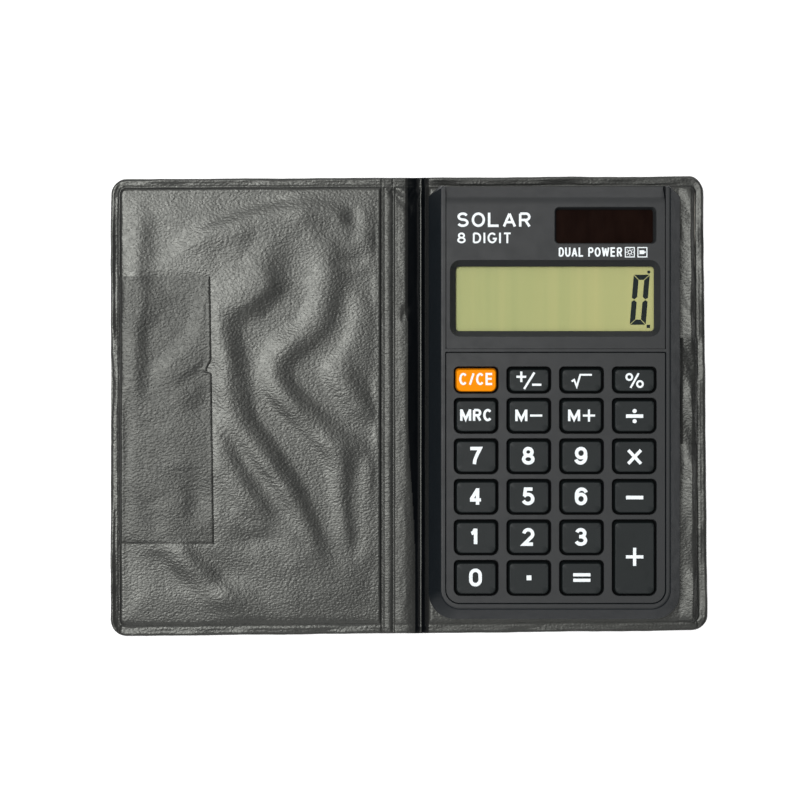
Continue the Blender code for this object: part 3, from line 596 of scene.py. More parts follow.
# Flanks of the left lining's soft folds: (tone, width, points). Flanks with a tone over 0 face
# left, towards the light, and the others face away.
FLANKS = [
    (-1.0, 3.5, [(-25.5, 42.9), (-28.3, 39.4), (-29.8, 34.2), (-31.1, 30.0), (-33.9, 25.1), (-38.5, 21.6),
                 (-40.4, 17.3), (-39.5, 12.4), (-38.5, 5.4), (-36.4, -0.9), (-33.2, -7.2), (-29.4, -12.8),
                 (-25.5, -18.4), (-23.0, -24.0), (-20.9, -30.3), (-19.5, -35.9), (-17.8, -42.9)]),
    (-0.6, 3.4, [(-28.3, 28.6), (-30.1, 23.7), (-35.3, 19.8)]),
    (-0.9, 2.7, [(-19.5, 39.4), (-16.7, 34.2), (-16.0, 28.6), (-16.5, 23.7), (-17.8, 18.1), (-20.6, 14.9),
                 (-25.5, 12.1), (-28.2, 8.6), (-27.7, 5.1), (-24.8, 1.2), (-19.9, -2.1), (-15.0, -4.4),
                 (-9.4, -8.2)]),
    (-0.25, 1.4, [(-8.7, 33.5), (-8.1, 19.5), (-8.1, 5.4), (-7.8, -8.6), (-8.0, -22.6), (-8.3, -36.6)]),
    (-0.5, 1.8, [(-13.4, 9.6), (-11.8, 5.4), (-8.3, -0.2)]),
    (-0.8, 1.5, [(-16.2, -7.2), (-14.1, -12.1), (-14.4, -18.4), (-14.3, -24.0), (-13.2, -29.6),
                 (-12.3, -35.2)]),
    (-0.7, 2.0, [(-42.7, -1.6), (-41.1, -8.6), (-38.8, -14.6), (-35.5, -19.8), (-32.5, -24.0),
                 (-29.7, -28.9)]),
    (-0.6, 2.1, [(-49.3, 34.2), (-44.4, 37.7), (-39.5, 38.9), (-34.3, 38.0)]),
    (-0.4, 3.5, [(-37.4, 34.2), (-40.2, 35.6)]),
    (-0.8, 2.5, [(-61.3, 48.2), (-60.4, 40.5), (-61.3, 31.4), (-61.8, 23.0), (-61.4, 15.2), (-62.1, 5.4),
                 (-63.0, -3.0)]),
    (-0.5, 3.1, [(-54.8, 26.5), (-56.0, 21.6), (-57.7, 16.6)]),
    (-0.75, 1.5, [(-55.1, 4.4), (-52.5, 6.8), (-49.3, 8.9), (-46.2, 10.5)]),
    (-0.45, 1.8, [(-52.8, -0.9), (-49.3, 1.2), (-47.2, 5.4)]),
    (-0.85, 2.0, [(-52.8, -31.4), (-49.3, -34.9), (-46.2, -37.7), (-42.3, -40.8)]),
    (-0.9, 1.4, [(-16.7, 42.6), (-14.6, 44.0), (-13.9, 41.5)]),
    (-0.5, 1.1, [(-18.5, 37.7), (-15.3, 34.5), (-10.8, 33.5)]),
    (-0.4, 1.8, [(-42.3, -28.2), (-37.4, -29.6), (-31.1, -29.6)]),
    (-0.5, 1.5, [(-52.8, -17.0), (-50.7, -21.2), (-51.8, -26.8)]),
    (-0.4, 2.1, [(-25.5, 44.0), (-22.0, 42.6), (-18.5, 40.5)]),
    (0.9, 2.5, [(-22.7, 39.4), (-22.0, 32.1), (-23.5, 23.7), (-28.0, 17.0), (-32.9, 12.4), (-33.9, 6.8),
                (-31.7, 0.5), (-26.9, -5.1), (-21.3, -8.9), (-18.8, -14.2), (-18.5, -21.2),
                (-17.3, -28.2), (-15.5, -34.5), (-13.2, -39.4)]),
    (0.9, 2.2, [(-13.9, 30.0), (-13.4, 21.6), (-15.0, 15.2), (-18.1, 10.9), (-19.7, 7.2), (-17.1, 2.6),
                (-12.9, -1.6), (-9.4, -4.9)]),
    (0.75, 1.5, [(-10.1, -10.3), (-10.6, -17.7), (-10.9, -24.7), (-10.9, -31.7), (-12.5, -38.0)]),
    (0.85, 1.5, [(-45.7, 21.6), (-44.1, 15.2), (-43.3, 8.9), (-43.9, 2.6), (-42.3, -3.0), (-39.4, -7.9),
                 (-36.0, -12.1), (-32.5, -16.4), (-29.0, -21.2), (-25.5, -26.8), (-22.8, -32.4),
                 (-21.3, -39.4)]),
    (0.9, 1.8, [(-59.2, 31.7), (-54.4, 36.1), (-47.9, 40.3), (-42.3, 42.7), (-35.3, 45.2), (-27.6, 46.7),
                (-20.6, 44.7)]),
    (0.4, 1.0, [(-52.8, 31.4), (-47.2, 35.4), (-42.3, 38.9), (-37.4, 41.2)]),
    (0.7, 2.4, [(-44.8, 23.7), (-39.2, 26.1), (-34.8, 29.1), (-32.9, 32.8)]),
    (0.5, 2.1, [(-44.4, 30.7), (-40.2, 31.7), (-36.0, 33.5)]),
    (0.8, 1.2, [(-12.0, 46.4), (-11.3, 41.2), (-12.5, 36.6)]),
    (0.7, 1.1, [(-16.7, 33.1), (-12.5, 32.2), (-8.7, 34.2)]),
    (0.7, 1.1, [(-64.2, 48.9), (-63.9, 40.5), (-64.1, 30.7), (-64.4, 19.5), (-64.2, 5.4), (-64.4, -8.6),
                (-64.8, -22.6), (-64.5, -36.6)]),
    (0.8, 2.1, [(-47.6, 27.9), (-48.5, 23.0), (-50.4, 17.3), (-53.9, 13.0), (-57.0, 9.6), (-57.7, 6.1),
                (-56.0, 3.0)]),
    (0.35, 3.5, [(-59.9, -3.0), (-56.7, -8.6), (-53.9, -14.9)]),
    (0.5, 1.4, [(-46.7, -7.2), (-47.6, -12.8), (-46.9, -21.2), (-46.2, -28.2)]),
    (0.5, 1.8, [(-58.6, -21.2), (-57.0, -26.1), (-56.3, -30.3)]),
    (0.85, 2.2, [(-56.5, -32.4), (-54.1, -37.5), (-50.0, -41.5), (-45.7, -43.8), (-40.6, -42.6)]),
    (0.6, 1.5, [(-42.7, -15.6), (-40.9, -21.2), (-39.4, -25.4)]),
    (0.4, 1.8, [(-38.1, -32.4), (-31.1, -32.4), (-25.5, -37.3)]),
    (0.35, 2.1, [(-36.7, -36.6), (-31.1, -43.6), (-25.5, -46.5)]),
]
# The slope of a flank of tone 1, the direction that it falls in, and the size over which folds level out
FLANK_SLOPE = 0.150
FACING = Vector((0.94, -0.35)).normalized()
SETTLING = 14.0
RELIEF_LIFT = 0.17
RELIEF_RANGE = (-0.12, 0.54)
# The grid that the folds are solved on
RELIEF_STEP = 0.6
RELIEF_START = (-73.0, -57.6)
RELIEF_COUNT = (128, 192)

# Heights of the inside by the distance from the wallet's edge: on three sides, and at the foot
BORDER = [(0.0, 0.60), (0.12, 0.80), (0.40, 0.94), (1.1, 0.91), (1.7, 0.87), (1.95, 0.78), (2.12, 0.80),
          (2.4, 1.20), (2.65, 1.40), (3.0, 1.47), (3.5, 1.50), (5.0, 1.50)]
BORDER_FOOT = [(0.0, 0.60), (0.12, 0.95), (0.40, 1.12), (1.1, 1.14), (1.8, 1.14), (2.0, 1.10), (2.15, 1.14),
               (2.5, 1.30), (3.0, 1.43), (3.6, 1.48), (4.4, 1.50), (5.0, 1.50)]
# How steeply the strip beside the case rises towards the border, along Y
STRIP_RISE = [(-52.7, 0.0), (-47.0, 0.15), (-40.0, 0.18), (-34.0, 0.05), (-27.0, 0.07), (-20.0, 0.17),
              (-12.0, 0.21), (-8.5, 0.07), (-4.0, 0.06), (0.0, 0.16), (4.0, 0.16), (7.5, 0.03), (13.5, 0.03),
              (17.0, 0.16), (22.0, 0.21), (25.5, 0.10), (28.5, 0.19), (40.0, 0.22), (48.5, 0.20),
              (52.7, 0.02)]
# The strip starts to rise at this X and is highest at that one
STRIP_START = 62.4
STRIP_CREST = 65.55
# The left lining ends at this X, and the weld along the wallet's edge is this wide
LEFT_LINING = -7.4
WELD_WIDTH = 2.4
# Where the left edge's outer lip is turned up, along Y
LEFT_LIP = [(-52.7, 0.6), (-46.0, 1.0), (-30.0, 0.9), (-22.0, 0.0), (16.0, 0.0), (24.0, 1.0), (40.0, 1.0),
            (47.0, 0.3), (52.7, 0.3)]
# Heights of the inside across the spine, by X, towards the head and towards the foot
SPINE_HEAD = [(-8.2, 1.50), (-7.4, 1.49), (-6.8, 1.44), (-6.5, 1.18), (-6.3, 0.78), (-5.95, 0.95),
              (-5.55, 1.06), (-3.95, 0.96), (-3.62, 0.80), (-3.3, 1.13), (-2.6, 1.22), (-1.6, 1.24),
              (-1.0, 1.23), (-0.75, 1.19), (0.3, 1.00), (1.2, 0.83), (2.1, 0.67), (2.35, 0.72),
              (2.62, 1.0), (2.85, 0.95), (3.4, 0.74), (3.8, 0.67), (4.2, 0.85), (4.7, 1.3), (5.2, 1.48),
              (6.0, 1.50)]
SPINE_FOOT = [(-8.2, 1.50), (-7.4, 1.49), (-6.8, 1.44), (-6.5, 1.18), (-6.3, 0.80), (-5.95, 0.94),
              (-5.55, 1.02), (-3.95, 1.00), (-3.62, 0.86), (-3.3, 1.12), (-2.6, 1.21), (-1.6, 1.25),
              (-0.9, 1.25), (-0.2, 1.18), (0.6, 1.03), (1.4, 0.84), (2.1, 0.68), (2.35, 0.70),
              (2.62, 0.92), (2.9, 0.90), (3.4, 0.74), (3.8, 0.67), (4.2, 0.85), (4.7, 1.3), (5.2, 1.48),
              (6.0, 1.50)]
# The spine's two strips of painted shade, in X, and the first one's change of width towards the foot and the
# head
VALLEY = (-0.35, 2.50)
GUTTER = (2.80, 4.60)
VALLEY_NARROWED = 1.7
VALLEY_WIDENED = 0.6
# Crumples at the spine's ends: (rise, width, points)
SPINE_FOLDS = [
    (-0.30, 0.8, [(-5.2, 50.6), (-2.6, 48.2), (-0.6, 46.4), (0.9, 44.0)]),
    (0.22, 0.9, [(-3.4, 50.8), (-0.4, 48.8), (1.6, 48.0), (3.0, 46.0)]),
    (-0.16, 0.5, [(-1.6, 50.6), (0.8, 49.8), (3.2, 50.2)]),
    (-0.25, 0.8, [(-0.8, 23.5), (-0.9, 21.4), (-1.9, 19.6)]),
    (0.20, 0.8, [(-14.5, -50.0), (-10.8, -47.6), (-8.0, -48.2)]),
    (-0.2, 0.7, [(-13.6, -48.2), (-10.6, -50.0), (-7.6, -49.4)]),
]


def border_distance(x, y):
    """How far each place is inside the wallet's outer edge, before its corners are rounded."""
    return np.minimum.reduce([x - WALLET_X[0], WALLET_X[1] - x, y - WALLET_Y[0], WALLET_Y[1] - y])


def in_plan(x, y):
    """Rounds the wallet's corners and gives its edges the slight skew and waviness of soft vinyl."""
    half_x = (WALLET_X[1] - WALLET_X[0]) / 2 - WALLET_CORNER
    half_y = (WALLET_Y[1] - WALLET_Y[0]) / 2 - WALLET_CORNER
    over_x = np.maximum(np.abs(x) - half_x, 0.0)
    over_y = np.maximum(np.abs(y) - half_y, 0.0)
    longest = np.maximum(over_x, over_y)
    reach = np.hypot(over_x, over_y)
    scale = np.where((over_x > 0) & (over_y > 0), longest / np.maximum(reach, 1e-9), 1.0)
    x = np.sign(x) * (np.minimum(np.abs(x), half_x) + over_x * scale)
    y = np.sign(y) * (np.minimum(np.abs(y), half_y) + over_y * scale)
    along_x, along_y = x / WALLET_X[1], y / WALLET_Y[1]
    wave_x = 0.14 * ripple(y, np.zeros_like(y), 13.0, 3.1) + 0.06 * ripple(y, np.zeros_like(y), 4.0, 8.4)
    wave_y = 0.14 * ripple(x, np.zeros_like(x), 15.0, 5.7) + 0.07 * ripple(x, np.zeros_like(x), 4.5, 1.9)
    right = smooth((x - 61.5) / 7.7)
    left = smooth((-x - 61.5) / 7.7)
    head = smooth((y - 46.0) / 6.7)
    foot = smooth((-y - 46.0) / 6.7)
    x_moved = x + right * (-0.72 - 0.55 * along_y + wave_x) + left * (0.30 + wave_x)
    y_moved = y + head * (-0.05 + 0.35 * along_x + wave_y) + foot * (0.05 + 0.70 * along_x + wave_y)
    return x_moved, y_moved


def soft_clip(value, low, high):
    """Keeps value between low and high, easing it in over the last third of the range."""
    middle, half = (low + high) / 2, (high - low) / 2
    offset = (value - middle) / half
    knee = 0.6
    beyond = np.maximum(np.abs(offset) - knee, 0.0)
    eased = np.minimum(np.abs(offset), knee) + (1 - knee) * np.tanh(beyond / (1 - knee))
    return middle + half * np.sign(offset) * eased


def folded():
    """The left lining's folds on an even grid: the smooth heights whose slopes best match FLANKS."""
    count_x, count_y = RELIEF_COUNT
    x, y = np.meshgrid(
        RELIEF_START[0] + RELIEF_STEP * np.arange(count_x),
        RELIEF_START[1] + RELIEF_STEP * np.arange(count_y),
    )
    slope = FLANK_SLOPE * sum(tone * near_line(x, y, width, points) for tone, width, points in FLANKS)
    slope *= smooth((border_distance(x, y) - 1.5) / 2.5) * smooth((-7.0 - x) / 2.0)
    wave_y, wave_x = np.meshgrid(
        2 * np.pi * np.fft.fftfreq(count_y, RELIEF_STEP),
        2 * np.pi * np.fft.fftfreq(count_x, RELIEF_STEP),
        indexing="ij",
    )
    along = wave_x * FACING.x + wave_y * FACING.y
    stiffness = along**2 + 0.06 * (wave_x**2 + wave_y**2) + 1 / SETTLING**2
    return np.fft.ifft2(np.fft.fft2(slope) * -1j * along / stiffness).real


FOLDS = folded()


def lining_relief(x, y):
    """The height of the left lining's folds at arrays of places."""
    across = np.clip((x - RELIEF_START[0]) / RELIEF_STEP, 0, RELIEF_COUNT[0] - 1.001)
    up = np.clip((y - RELIEF_START[1]) / RELIEF_STEP, 0, RELIEF_COUNT[1] - 1.001)
    column, row = across.astype(int), up.astype(int)
    share_x, share_y = across - column, up - row
    lower = FOLDS[row, column] * (1 - share_x) + FOLDS[row, column + 1] * share_x
    upper = FOLDS[row + 1, column] * (1 - share_x) + FOLDS[row + 1, column + 1] * share_x
    relief = lower * (1 - share_y) + upper * share_y
    return relief + 0.045 * ripple(x, y, 6.0, 2.3) + 0.012 * ripple(x, y, 2.6, 6.1)


def left_relief(x, y, edge):
    """The left lining's folds, lower under the card tab and level at the welds."""
    from_spine, from_weld = LEFT_LINING - x, edge - WELD_WIDTH
    on_left = smooth(from_spine / 1.8) * smooth(from_weld / 1.8)
    under_tab = smooth((-43.5 - x) / 3.0) * smooth((31.5 - y) / 3.0) * smooth((y + 33.5) / 3.0)
    lift = RELIEF_LIFT * smooth(from_spine / 8.0) * smooth(from_weld / 8.0) * (1 - 0.75 * under_tab)
    relief = lining_relief(x, y) * on_left + lift
    return soft_clip(relief, RELIEF_RANGE[0], RELIEF_RANGE[1] - 0.34 * under_tab)


def strip_relief(x, y, edge):
    """The narrow strip to the right of the case, which rises in patches to a crest near its border."""
    on_right = smooth((x - 61.0) / 2.0) * smooth((edge - 1.2) / 1.5)
    wander = y + 0.9 * (x - 64.0) + 2.2 * ripple(x * 0.5, y * 0.5, 2.4, 5.1)
    crest = STRIP_CREST + 0.35 * ripple(y, y * 0, 9.0, 2.0)
    run = np.clip(x - STRIP_START, 0.0, crest - STRIP_START) * (1 - smooth((x - crest) / 1.0))
    rise = profile(STRIP_RISE, np.clip(wander, STRIP_RISE[0][0], STRIP_RISE[-1][0]))
    return on_right * (rise * run + 0.07 * ripple(x, y * 0.5, 1.8, 9.0))


def spine_relief(x, y, edge):
    """The spine's crumpled ends and faint ripples."""
    in_spine = smooth((x + 7.0) / 1.0) * smooth((6.0 - x) / 1.0) * smooth(edge / 1.5)
    crumples = sum(rise * near_line(x, y, width, points) for rise, width, points in SPINE_FOLDS)
    return in_spine * (crumples + 0.05 * ripple(x * 1.2, y * 0.4, 1.6, 7.7))


def border_relief(x, y, edge):
    """The welded border's turned-up lips, crumples and twist."""
    wander = np.clip(y + 1.5 * ripple(y, y * 0, 6.0, 1.0), LEFT_LIP[0][0], LEFT_LIP[-1][0])
    on_left = (x < -60.0) * np.clip(1.1 - (x - WALLET_X[0]), 0.0, 1.0)
    above_case = smooth((x - 3.0) / 3.0) * smooth((55.0 - x) / 25.0)
    lips = 0.30 * on_left * profile(LEFT_LIP, wander)
    lips += 0.17 * above_case * np.clip(2.2 - (WALLET_Y[1] - y), 0.0, 2.2)
    in_weld = smooth((3.2 - edge) / 0.8)
    crumples = in_weld * (0.05 * ripple(x * 0.6, y * 0.6, 3.4, 1.2) + 0.03 * ripple(x, y, 1.6, 5.2))
    twist = ripple(x * 0.3, y * 0.3, 2.6, 3.3) + 0.4 * ripple(x, y, 3.2, 7.1)
    return lips + crumples + 0.30 * twist * (edge - 1.1) * smooth((2.0 - edge) / 0.4)


def lining_top(x, y):
    """The height of the wallet's inside at arrays of places."""
    edge = border_distance(x, y)
    from_other_sides = np.minimum.reduce([x - WALLET_X[0], WALLET_X[1] - x, WALLET_Y[1] - y])
    border = np.minimum(
        profile(BORDER, np.minimum(from_other_sides, 4.9)),
        profile(BORDER_FOOT, np.minimum(y - WALLET_Y[0], 4.9)),
    )
    headward = smooth((y - 18.0) / 5.0)
    across = np.clip(x, SPINE_HEAD[0][0], SPINE_HEAD[-1][0])
    spine = headward * profile(SPINE_HEAD, across) + (1 - headward) * profile(SPINE_FOOT, across)
    lower = 0.5 * (border + spine - np.sqrt((border - spine) ** 2 + 0.004))
    reliefs = (left_relief, strip_relief, spine_relief, border_relief)
    relief = sum(part(x, y, edge) for part in reliefs)
    return np.maximum(lower + relief, SHEET + LINING_THICKNESS + 0.02)


def spaced(low, high, step, fine_step, fine_spans):
    """Places from low to high, step apart, and fine_step apart inside the fine spans."""
    places = [low]
    while places[-1] < high - fine_step * 0.6:
        here = places[-1]
        fine = any(start - 1e-6 <= here < end for start, end in fine_spans)
        following = here + (fine_step if fine else step)
        if not fine:
            starts = [start for start, _ in fine_spans if here < start - 1e-6 < following]
            following = min([following, *starts])
        places.append(min(following, high))
    places[-1] = high
    return np.array(places)


def grid_sheet(name, xs, ys, shape):
    """A thin closed sheet over a grid. shape turns arrays of places into their plan, top and bottom."""
    x, y = np.meshgrid(xs, ys)
    plan_x, plan_y, top, bottom = shape(x, y)
    rows, columns = x.shape
    count = rows * columns
    upper = np.stack([plan_x, plan_y, top], axis=-1).reshape(-1, 3)
    lower = np.stack([plan_x, plan_y, bottom], axis=-1).reshape(-1, 3)
    index = np.arange(count).reshape(rows, columns)
    a, b, c, d = (part.ravel() for part in (index[:-1, :-1], index[:-1, 1:], index[1:, 1:], index[1:, :-1]))
    faces = [np.stack([a, b, c, d], axis=1), np.stack([d, c, b, a], axis=1) + count]
    rim = np.concatenate([index[0, :], index[1:, -1], index[-1, -2::-1], index[-2:0:-1, 0]])
    after = np.roll(rim, -1)
    faces.append(np.stack([rim + count, after + count, after, rim], axis=1))
    mesh = bpy.data.meshes.new(name)
    mesh.from_pydata(np.concatenate([upper, lower]).tolist(), [], np.concatenate(faces).tolist())
    rest = mesh.attributes.new("rest", "FLOAT_VECTOR", "POINT")
    rest.data.foreach_set("vector", (np.concatenate([upper, lower]) * MM).ravel())
    obj = bpy.data.objects.new(name, mesh)
    bpy.context.scene.collection.objects.link(obj)
    return obj


def lining(side):
    """The wallet's inside on one side of the spine's middle."""
    if side == "left":
        xs = spaced(WALLET_X[0], SPLIT, 0.62, 0.21, [(WALLET_X[0], -64.6), (-8.4, SPLIT)])
    else:
        xs = spaced(SPLIT, WALLET_X[1], 1.3, 0.21, [(SPLIT, 6.0), (61.5, WALLET_X[1])])
    ys = spaced(*WALLET_Y, 0.62, 0.21, [(WALLET_Y[0], -48.2), (48.2, WALLET_Y[1])])

    def shape(x, y):
        top = lining_top(x, y)
        return *in_plan(x, y), top, top - LINING_THICKNESS

    nodes = ("lining_left", "spine_lining") if side == "left" else ("lining_right",)
    obj = grid_sheet(f"lining_vinyl_{side}", xs, ys, shape)
    finish(obj, LINING_LOOK, None, nodes, sharp=60, weighted=False)
    # The faces of the spine's valley and gutter take the valley vinyl: painted shade beside the calculator.
    obj.data.materials.append(VALLEY_SHADE_LOOK)
    for face in obj.data.polygons:
        place = face.center / MM
        start = VALLEY[0] + VALLEY_NARROWED * smooth((-2.0 - place.y) / 32.0)
        start -= VALLEY_WIDENED * smooth((place.y - 19.5) / 2.0)
        dark = start < place.x < VALLEY[1] or GUTTER[0] < place.x < GUTTER[1]
        if dark and place.z > HINGE_HEIGHT * 0.4:
            face.material_index = 1
    bend(obj)


def bend(obj):
    """Bakes a wallet sheet's transform into its mesh."""
    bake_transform(obj)


def outer_sheet(side):
    """The wallet's outside: a smooth sheet whose edge and weld line are pressed in from below."""
    if side == "left":
        xs = spaced(WALLET_X[0], SPLIT, 1.3, 0.25, [(WALLET_X[0], -65.6), (-8.0, -4.8)])
    else:
        xs = spaced(SPLIT, WALLET_X[1], 1.3, 0.25, [(2.2, 5.4), (65.6, WALLET_X[1])])
    ys = spaced(*WALLET_Y, 1.3, 0.25, [(WALLET_Y[0], -49.2), (49.2, WALLET_Y[1])])

    def shape(x, y):
        edge = border_distance(x, y)
        weld = 0.13 * np.exp(-(((edge - 2.05) / 0.32) ** 2))
        lip = 0.14 * (1 - smooth(edge / 0.35))
        puff = 0.05 * (1 - smooth((edge - 2.2) / 1.4)) * smooth((edge - 2.0) / 0.3)
        creases = sum(0.10 * np.exp(-(((x - crease) / 0.5) ** 2)) for crease in (CREASE_LEFT, CREASE_RIGHT))
        return *in_plan(x, y), SHEET - 0.6 * lip, weld + lip + puff + creases

    nodes = ("outer_cover_left", "outer_cover_spine") if side == "left" else ("outer_cover_right",)
    obj = grid_sheet(f"outer_vinyl_{side}", xs, ys, shape)
    finish(obj, OUTER_LOOK, None, nodes, sharp=60, weighted=False)
    bend(obj)


def card_tab():
    """The slip tab on the empty panel: welded at its left edge, and slightly kinked at its free edge."""
    low, high = box("card_tab")
    xs = spaced(low[0] + 1.7, high[0], 0.6, 0.25, [(low[0], -64.5), (high[0] - 3.0, high[0])])
    ys = spaced(low[1], high[1], 0.6, 0.3, [(low[1], low[1] + 1.2), (5.8, 12.0), (high[1] - 1.2, high[1])])

    def shape(x, y):
        top = lining_top(x, y)
        plan_x, plan_y = in_plan(x, y)
        free = smooth((x - (high[0] - 3.4)) / 3.4)
        lean = (0.45 - (y - low[1]) / (high[1] - low[1])) * 0.9
        notch = np.where(y > 8.0, smooth((10.9 - y) / 2.9), smooth((y - 7.4) / 0.6)) * (y < 10.9)
        plan_x = plan_x + free * (lean - 1.15 * notch)
        rest_height = top + TAB_GAP + 0.10 * notch * free
        sides_in = np.minimum(y - low[1], high[1] - y)
        droop = 0.11 * smooth((x - (high[0] - 0.35)) / 0.35) + 0.07 * (1 - smooth(sides_in / 0.7))
        return plan_x, plan_y, rest_height + TAB_THICKNESS - droop, rest_height

    obj = grid_sheet("card_tab_vinyl", xs, ys, shape)
    finish(obj, TAB_LOOK, "cover", ("card_tab",), sharp=60, weighted=False)


def retaining_tab():
    """The slip tab on the other panel, which rises into the slot in the back of the case."""
    low, high = box("retaining_tab")
    held = (SLOT_Z[0] + SLOT_Z[1] - TAB_THICKNESS) / 2
    xs = spaced(low[0], high[0] - 1.6, 1.0, 0.3, [(CASE_HIGH[0] - 1.0, high[0])])
    ys = spaced(low[1], high[1], 1.0, 0.5, [(low[1], low[1] + 1.0), (high[1] - 1.0, high[1])])

    def shape(x, y):
        resting = lining_top(x, y) + TAB_GAP
        share = smooth((x - CASE_HIGH[0] + 0.25) / 1.5)
        bottom = held * (1 - share) + resting * share
        return *in_plan(x, y), bottom + TAB_THICKNESS, bottom

    obj = grid_sheet("retaining_tab_vinyl", xs, ys, shape)
    finish(obj, TAB_LOOK, "root", ("retaining_tab",), sharp=60, weighted=False)


# ---------------------------------------------------------------- calculator case


def case_outline(inset=0.0, head_inset=None, chamfer=HEAD_CHAMFER):
    """The case's outline drawn in by inset: round at the foot end, chamfered at the head end."""
    head = inset if head_inset is None else head_inset
    foot = max(FOOT_CORNER - 0.6 * inset, 0.5)
    x0, x1 = REAR_LOW[0] + inset, REAR_HIGH[0] - inset
    y0, y1 = REAR_LOW[1] + inset, REAR_HIGH[1] - head
    return rounded(x0, y0, x1, y1, (foot, foot, -chamfer, -chamfer), 12)


def slope_rings():
    """The rim's rings: an upright side, the slope, and a rounded edge to the flat top."""
    slope = math.atan2(HOUSING_TOP - SHOULDER, SLOPE_WIDTH)
    radius = 0.75
    tangent = radius * math.tan(slope / 2)
    path = [(0.12, HOUSING_BOTTOM), (0.0, HOUSING_BOTTOM + 0.15)]
    path += [(0.0, SHOULDER - 0.1), (0.08, SHOULDER + 0.1)]
    centre = (SLOPE_WIDTH + tangent, HOUSING_TOP - radius)
    steps = 6
    for step in range(steps + 1):
        turn = slope * (1 - step / steps)
        path.append((centre[0] - radius * math.sin(turn), centre[1] + radius * math.cos(turn)))
    rings = []
    for inset, height in path:
        share = min(inset / SLOPE_WIDTH, 1.0)
        chamfer = HEAD_CHAMFER + (0.4 - HEAD_CHAMFER) * share
        rings.append((case_outline(inset, HEAD_SLOPE * share, chamfer), height))
    return rings


def fascia_line(start, reach=0.0):
    """The middle line of the fascia in Y and Z, with a rounded bend over the case's head."""
    thickness = PANEL_TOP - PANEL_BOTTOM
    middle = (PANEL_TOP + PANEL_BOTTOM) / 2
    top_start, end = Vector((LIP_START, PANEL_TOP)), Vector(LIP_END)
    way = (end - top_start).normalized()
    inward = Vector((way.y, -way.x)) * thickness / 2
    corner = top_start + inward
    corner += way * (corner.y - middle) / -way.y
    radius_run = 1.1
    before = corner - Vector((radius_run, 0))
    after = corner + way * radius_run
    bend_points = []
    steps = 6
    for step in range(steps + 1):
        t = step / steps
        bend_points.append(before.lerp(corner, t).lerp(corner.lerp(after, t), t))
    last = end + inward + way * reach
    return [(start, middle), *(tuple(point) for point in bend_points), tuple(last)]


def key_panel_outline(grow=0.0):
    """The lower panel's outline, moved out by grow."""
    foot = POCKET_CORNER - PANEL_GAP + grow
    head = 0.3
    x0, x1 = PANEL_LOW[0] - grow, PANEL_HIGH[0] + grow
    return rounded(x0, PANEL_LOW[1] - grow, x1, PANEL_HIGH[1] + grow, (foot, foot, head, head), 10)


def housing():
    """The dark sloped rim around the two front panels, open inside, with a ledge under them; its slopes are
    darker than its flat top, as painted shade.
    """
    obj = loft("rim_housing", slope_rings())
    above = HOUSING_TOP + 1.0
    x0, x1 = PANEL_LOW[0] - PANEL_GAP, PANEL_HIGH[0] + PANEL_GAP
    ledge_x0, ledge_x1 = x0 + LEDGE_WIDTH, x1 - LEDGE_WIDTH
    cavity_low = (REAR_LOW[0] + HOUSING_WALL, REAR_LOW[1] + HOUSING_WALL)
    cavity = rounded(*cavity_low, REAR_HIGH[0] - HOUSING_WALL, REAR_HIGH[1] - HEAD_WALL, 3.0)
    keys = rounded(ledge_x0, PANEL_LOW[1] + LEDGE_WIDTH, ledge_x1, DIVIDER[0] - DIVIDER_BAR, 0.5)
    display = rounded(ledge_x0, DIVIDER[1] + DIVIDER_BAR, ledge_x1, DISPLAY_LEDGE_HEAD, 0.5)
    panel = key_panel_outline(PANEL_GAP)
    mouth = key_panel_outline(PANEL_GAP + PANEL_EDGE)
    for outline, low, high in (
        (cavity, HOUSING_BOTTOM - 1, LEDGE_Z[0]),
        (keys, LEDGE_Z[0] - 0.5, above),
        (display, LEDGE_Z[0] - 0.5, above),
    ):
        combine(obj, loft("cutter", [(outline, low), (outline, high)]))
    pocket = [(panel, LEDGE_Z[1]), (panel, HOUSING_TOP - PANEL_EDGE), (mouth, HOUSING_TOP), (mouth, above)]
    combine(obj, loft("cutter", pocket))
    _, under_fascia = sides(fascia_line(DIVIDER[1], 3.0), PANEL_TOP - PANEL_BOTTOM + FASCIA_ROOM)
    beyond = CASE_HIGH[1] + 3.0
    room = [tuple(point) for point in under_fascia]
    room += [(beyond, room[-1][1]), (beyond, above), (DIVIDER[1], above)]
    combine(obj, loft("cutter", [(room, x0), (room, x1)], turn="X"))
    finish(obj, RIM_LOOK, "root", ("front_housing",), sharp=28)
    # The rim's flat top takes the lighter panel plastic and its slopes keep the darker rim plastic: the
    # slopes' darkness is painted shade.
    obj.data.materials.append(PANEL_LOOK)
    for face in obj.data.polygons:
        if face.normal.z > 0.90 and face.center.z > (HOUSING_TOP - 0.5) * MM:
            face.material_index = 1


def rear_shell():
    """The lower case: a chamfered tray with the slot for the retaining tab."""
    chamfer, rise = 1.4, 1.2
    bottom, top = REAR_LOW[2], REAR_TOP
    rings = [
        (case_outline(chamfer + 0.25), bottom),
        (case_outline(chamfer - 0.15), bottom + 0.12),
        (case_outline(0.12), bottom + rise - 0.12),
        (case_outline(0.0), bottom + rise + 0.12),
        (case_outline(0.0), top - 0.12),
        (case_outline(0.10), top),
    ]
    obj = loft("rear_shell", rings)
    wall = REAR_WALL
    x0, y0, x1, y1 = REAR_LOW[0] + wall, REAR_LOW[1] + wall, REAR_HIGH[0] - wall, REAR_HIGH[1] - wall
    tray = rounded(x0, y0, x1, y1, (3.6, 3.6, -2.0, -2.0))
    combine(obj, loft("cutter", [(tray, REAR_FLOOR), (tray, REAR_TOP + 1.6)]))
    tab_low, tab_high = box("retaining_tab")
    slot = rounded(SLOT_X[0], tab_low[1] - 0.5, SLOT_X[1], tab_high[1] + 0.5, 0.5)
    combine(obj, loft("cutter", [(slot, SLOT_Z[0]), (slot, SLOT_Z[1])]))
    finish(obj, RIM_LOOK, "root", ("rear_cover",), sharp=28)


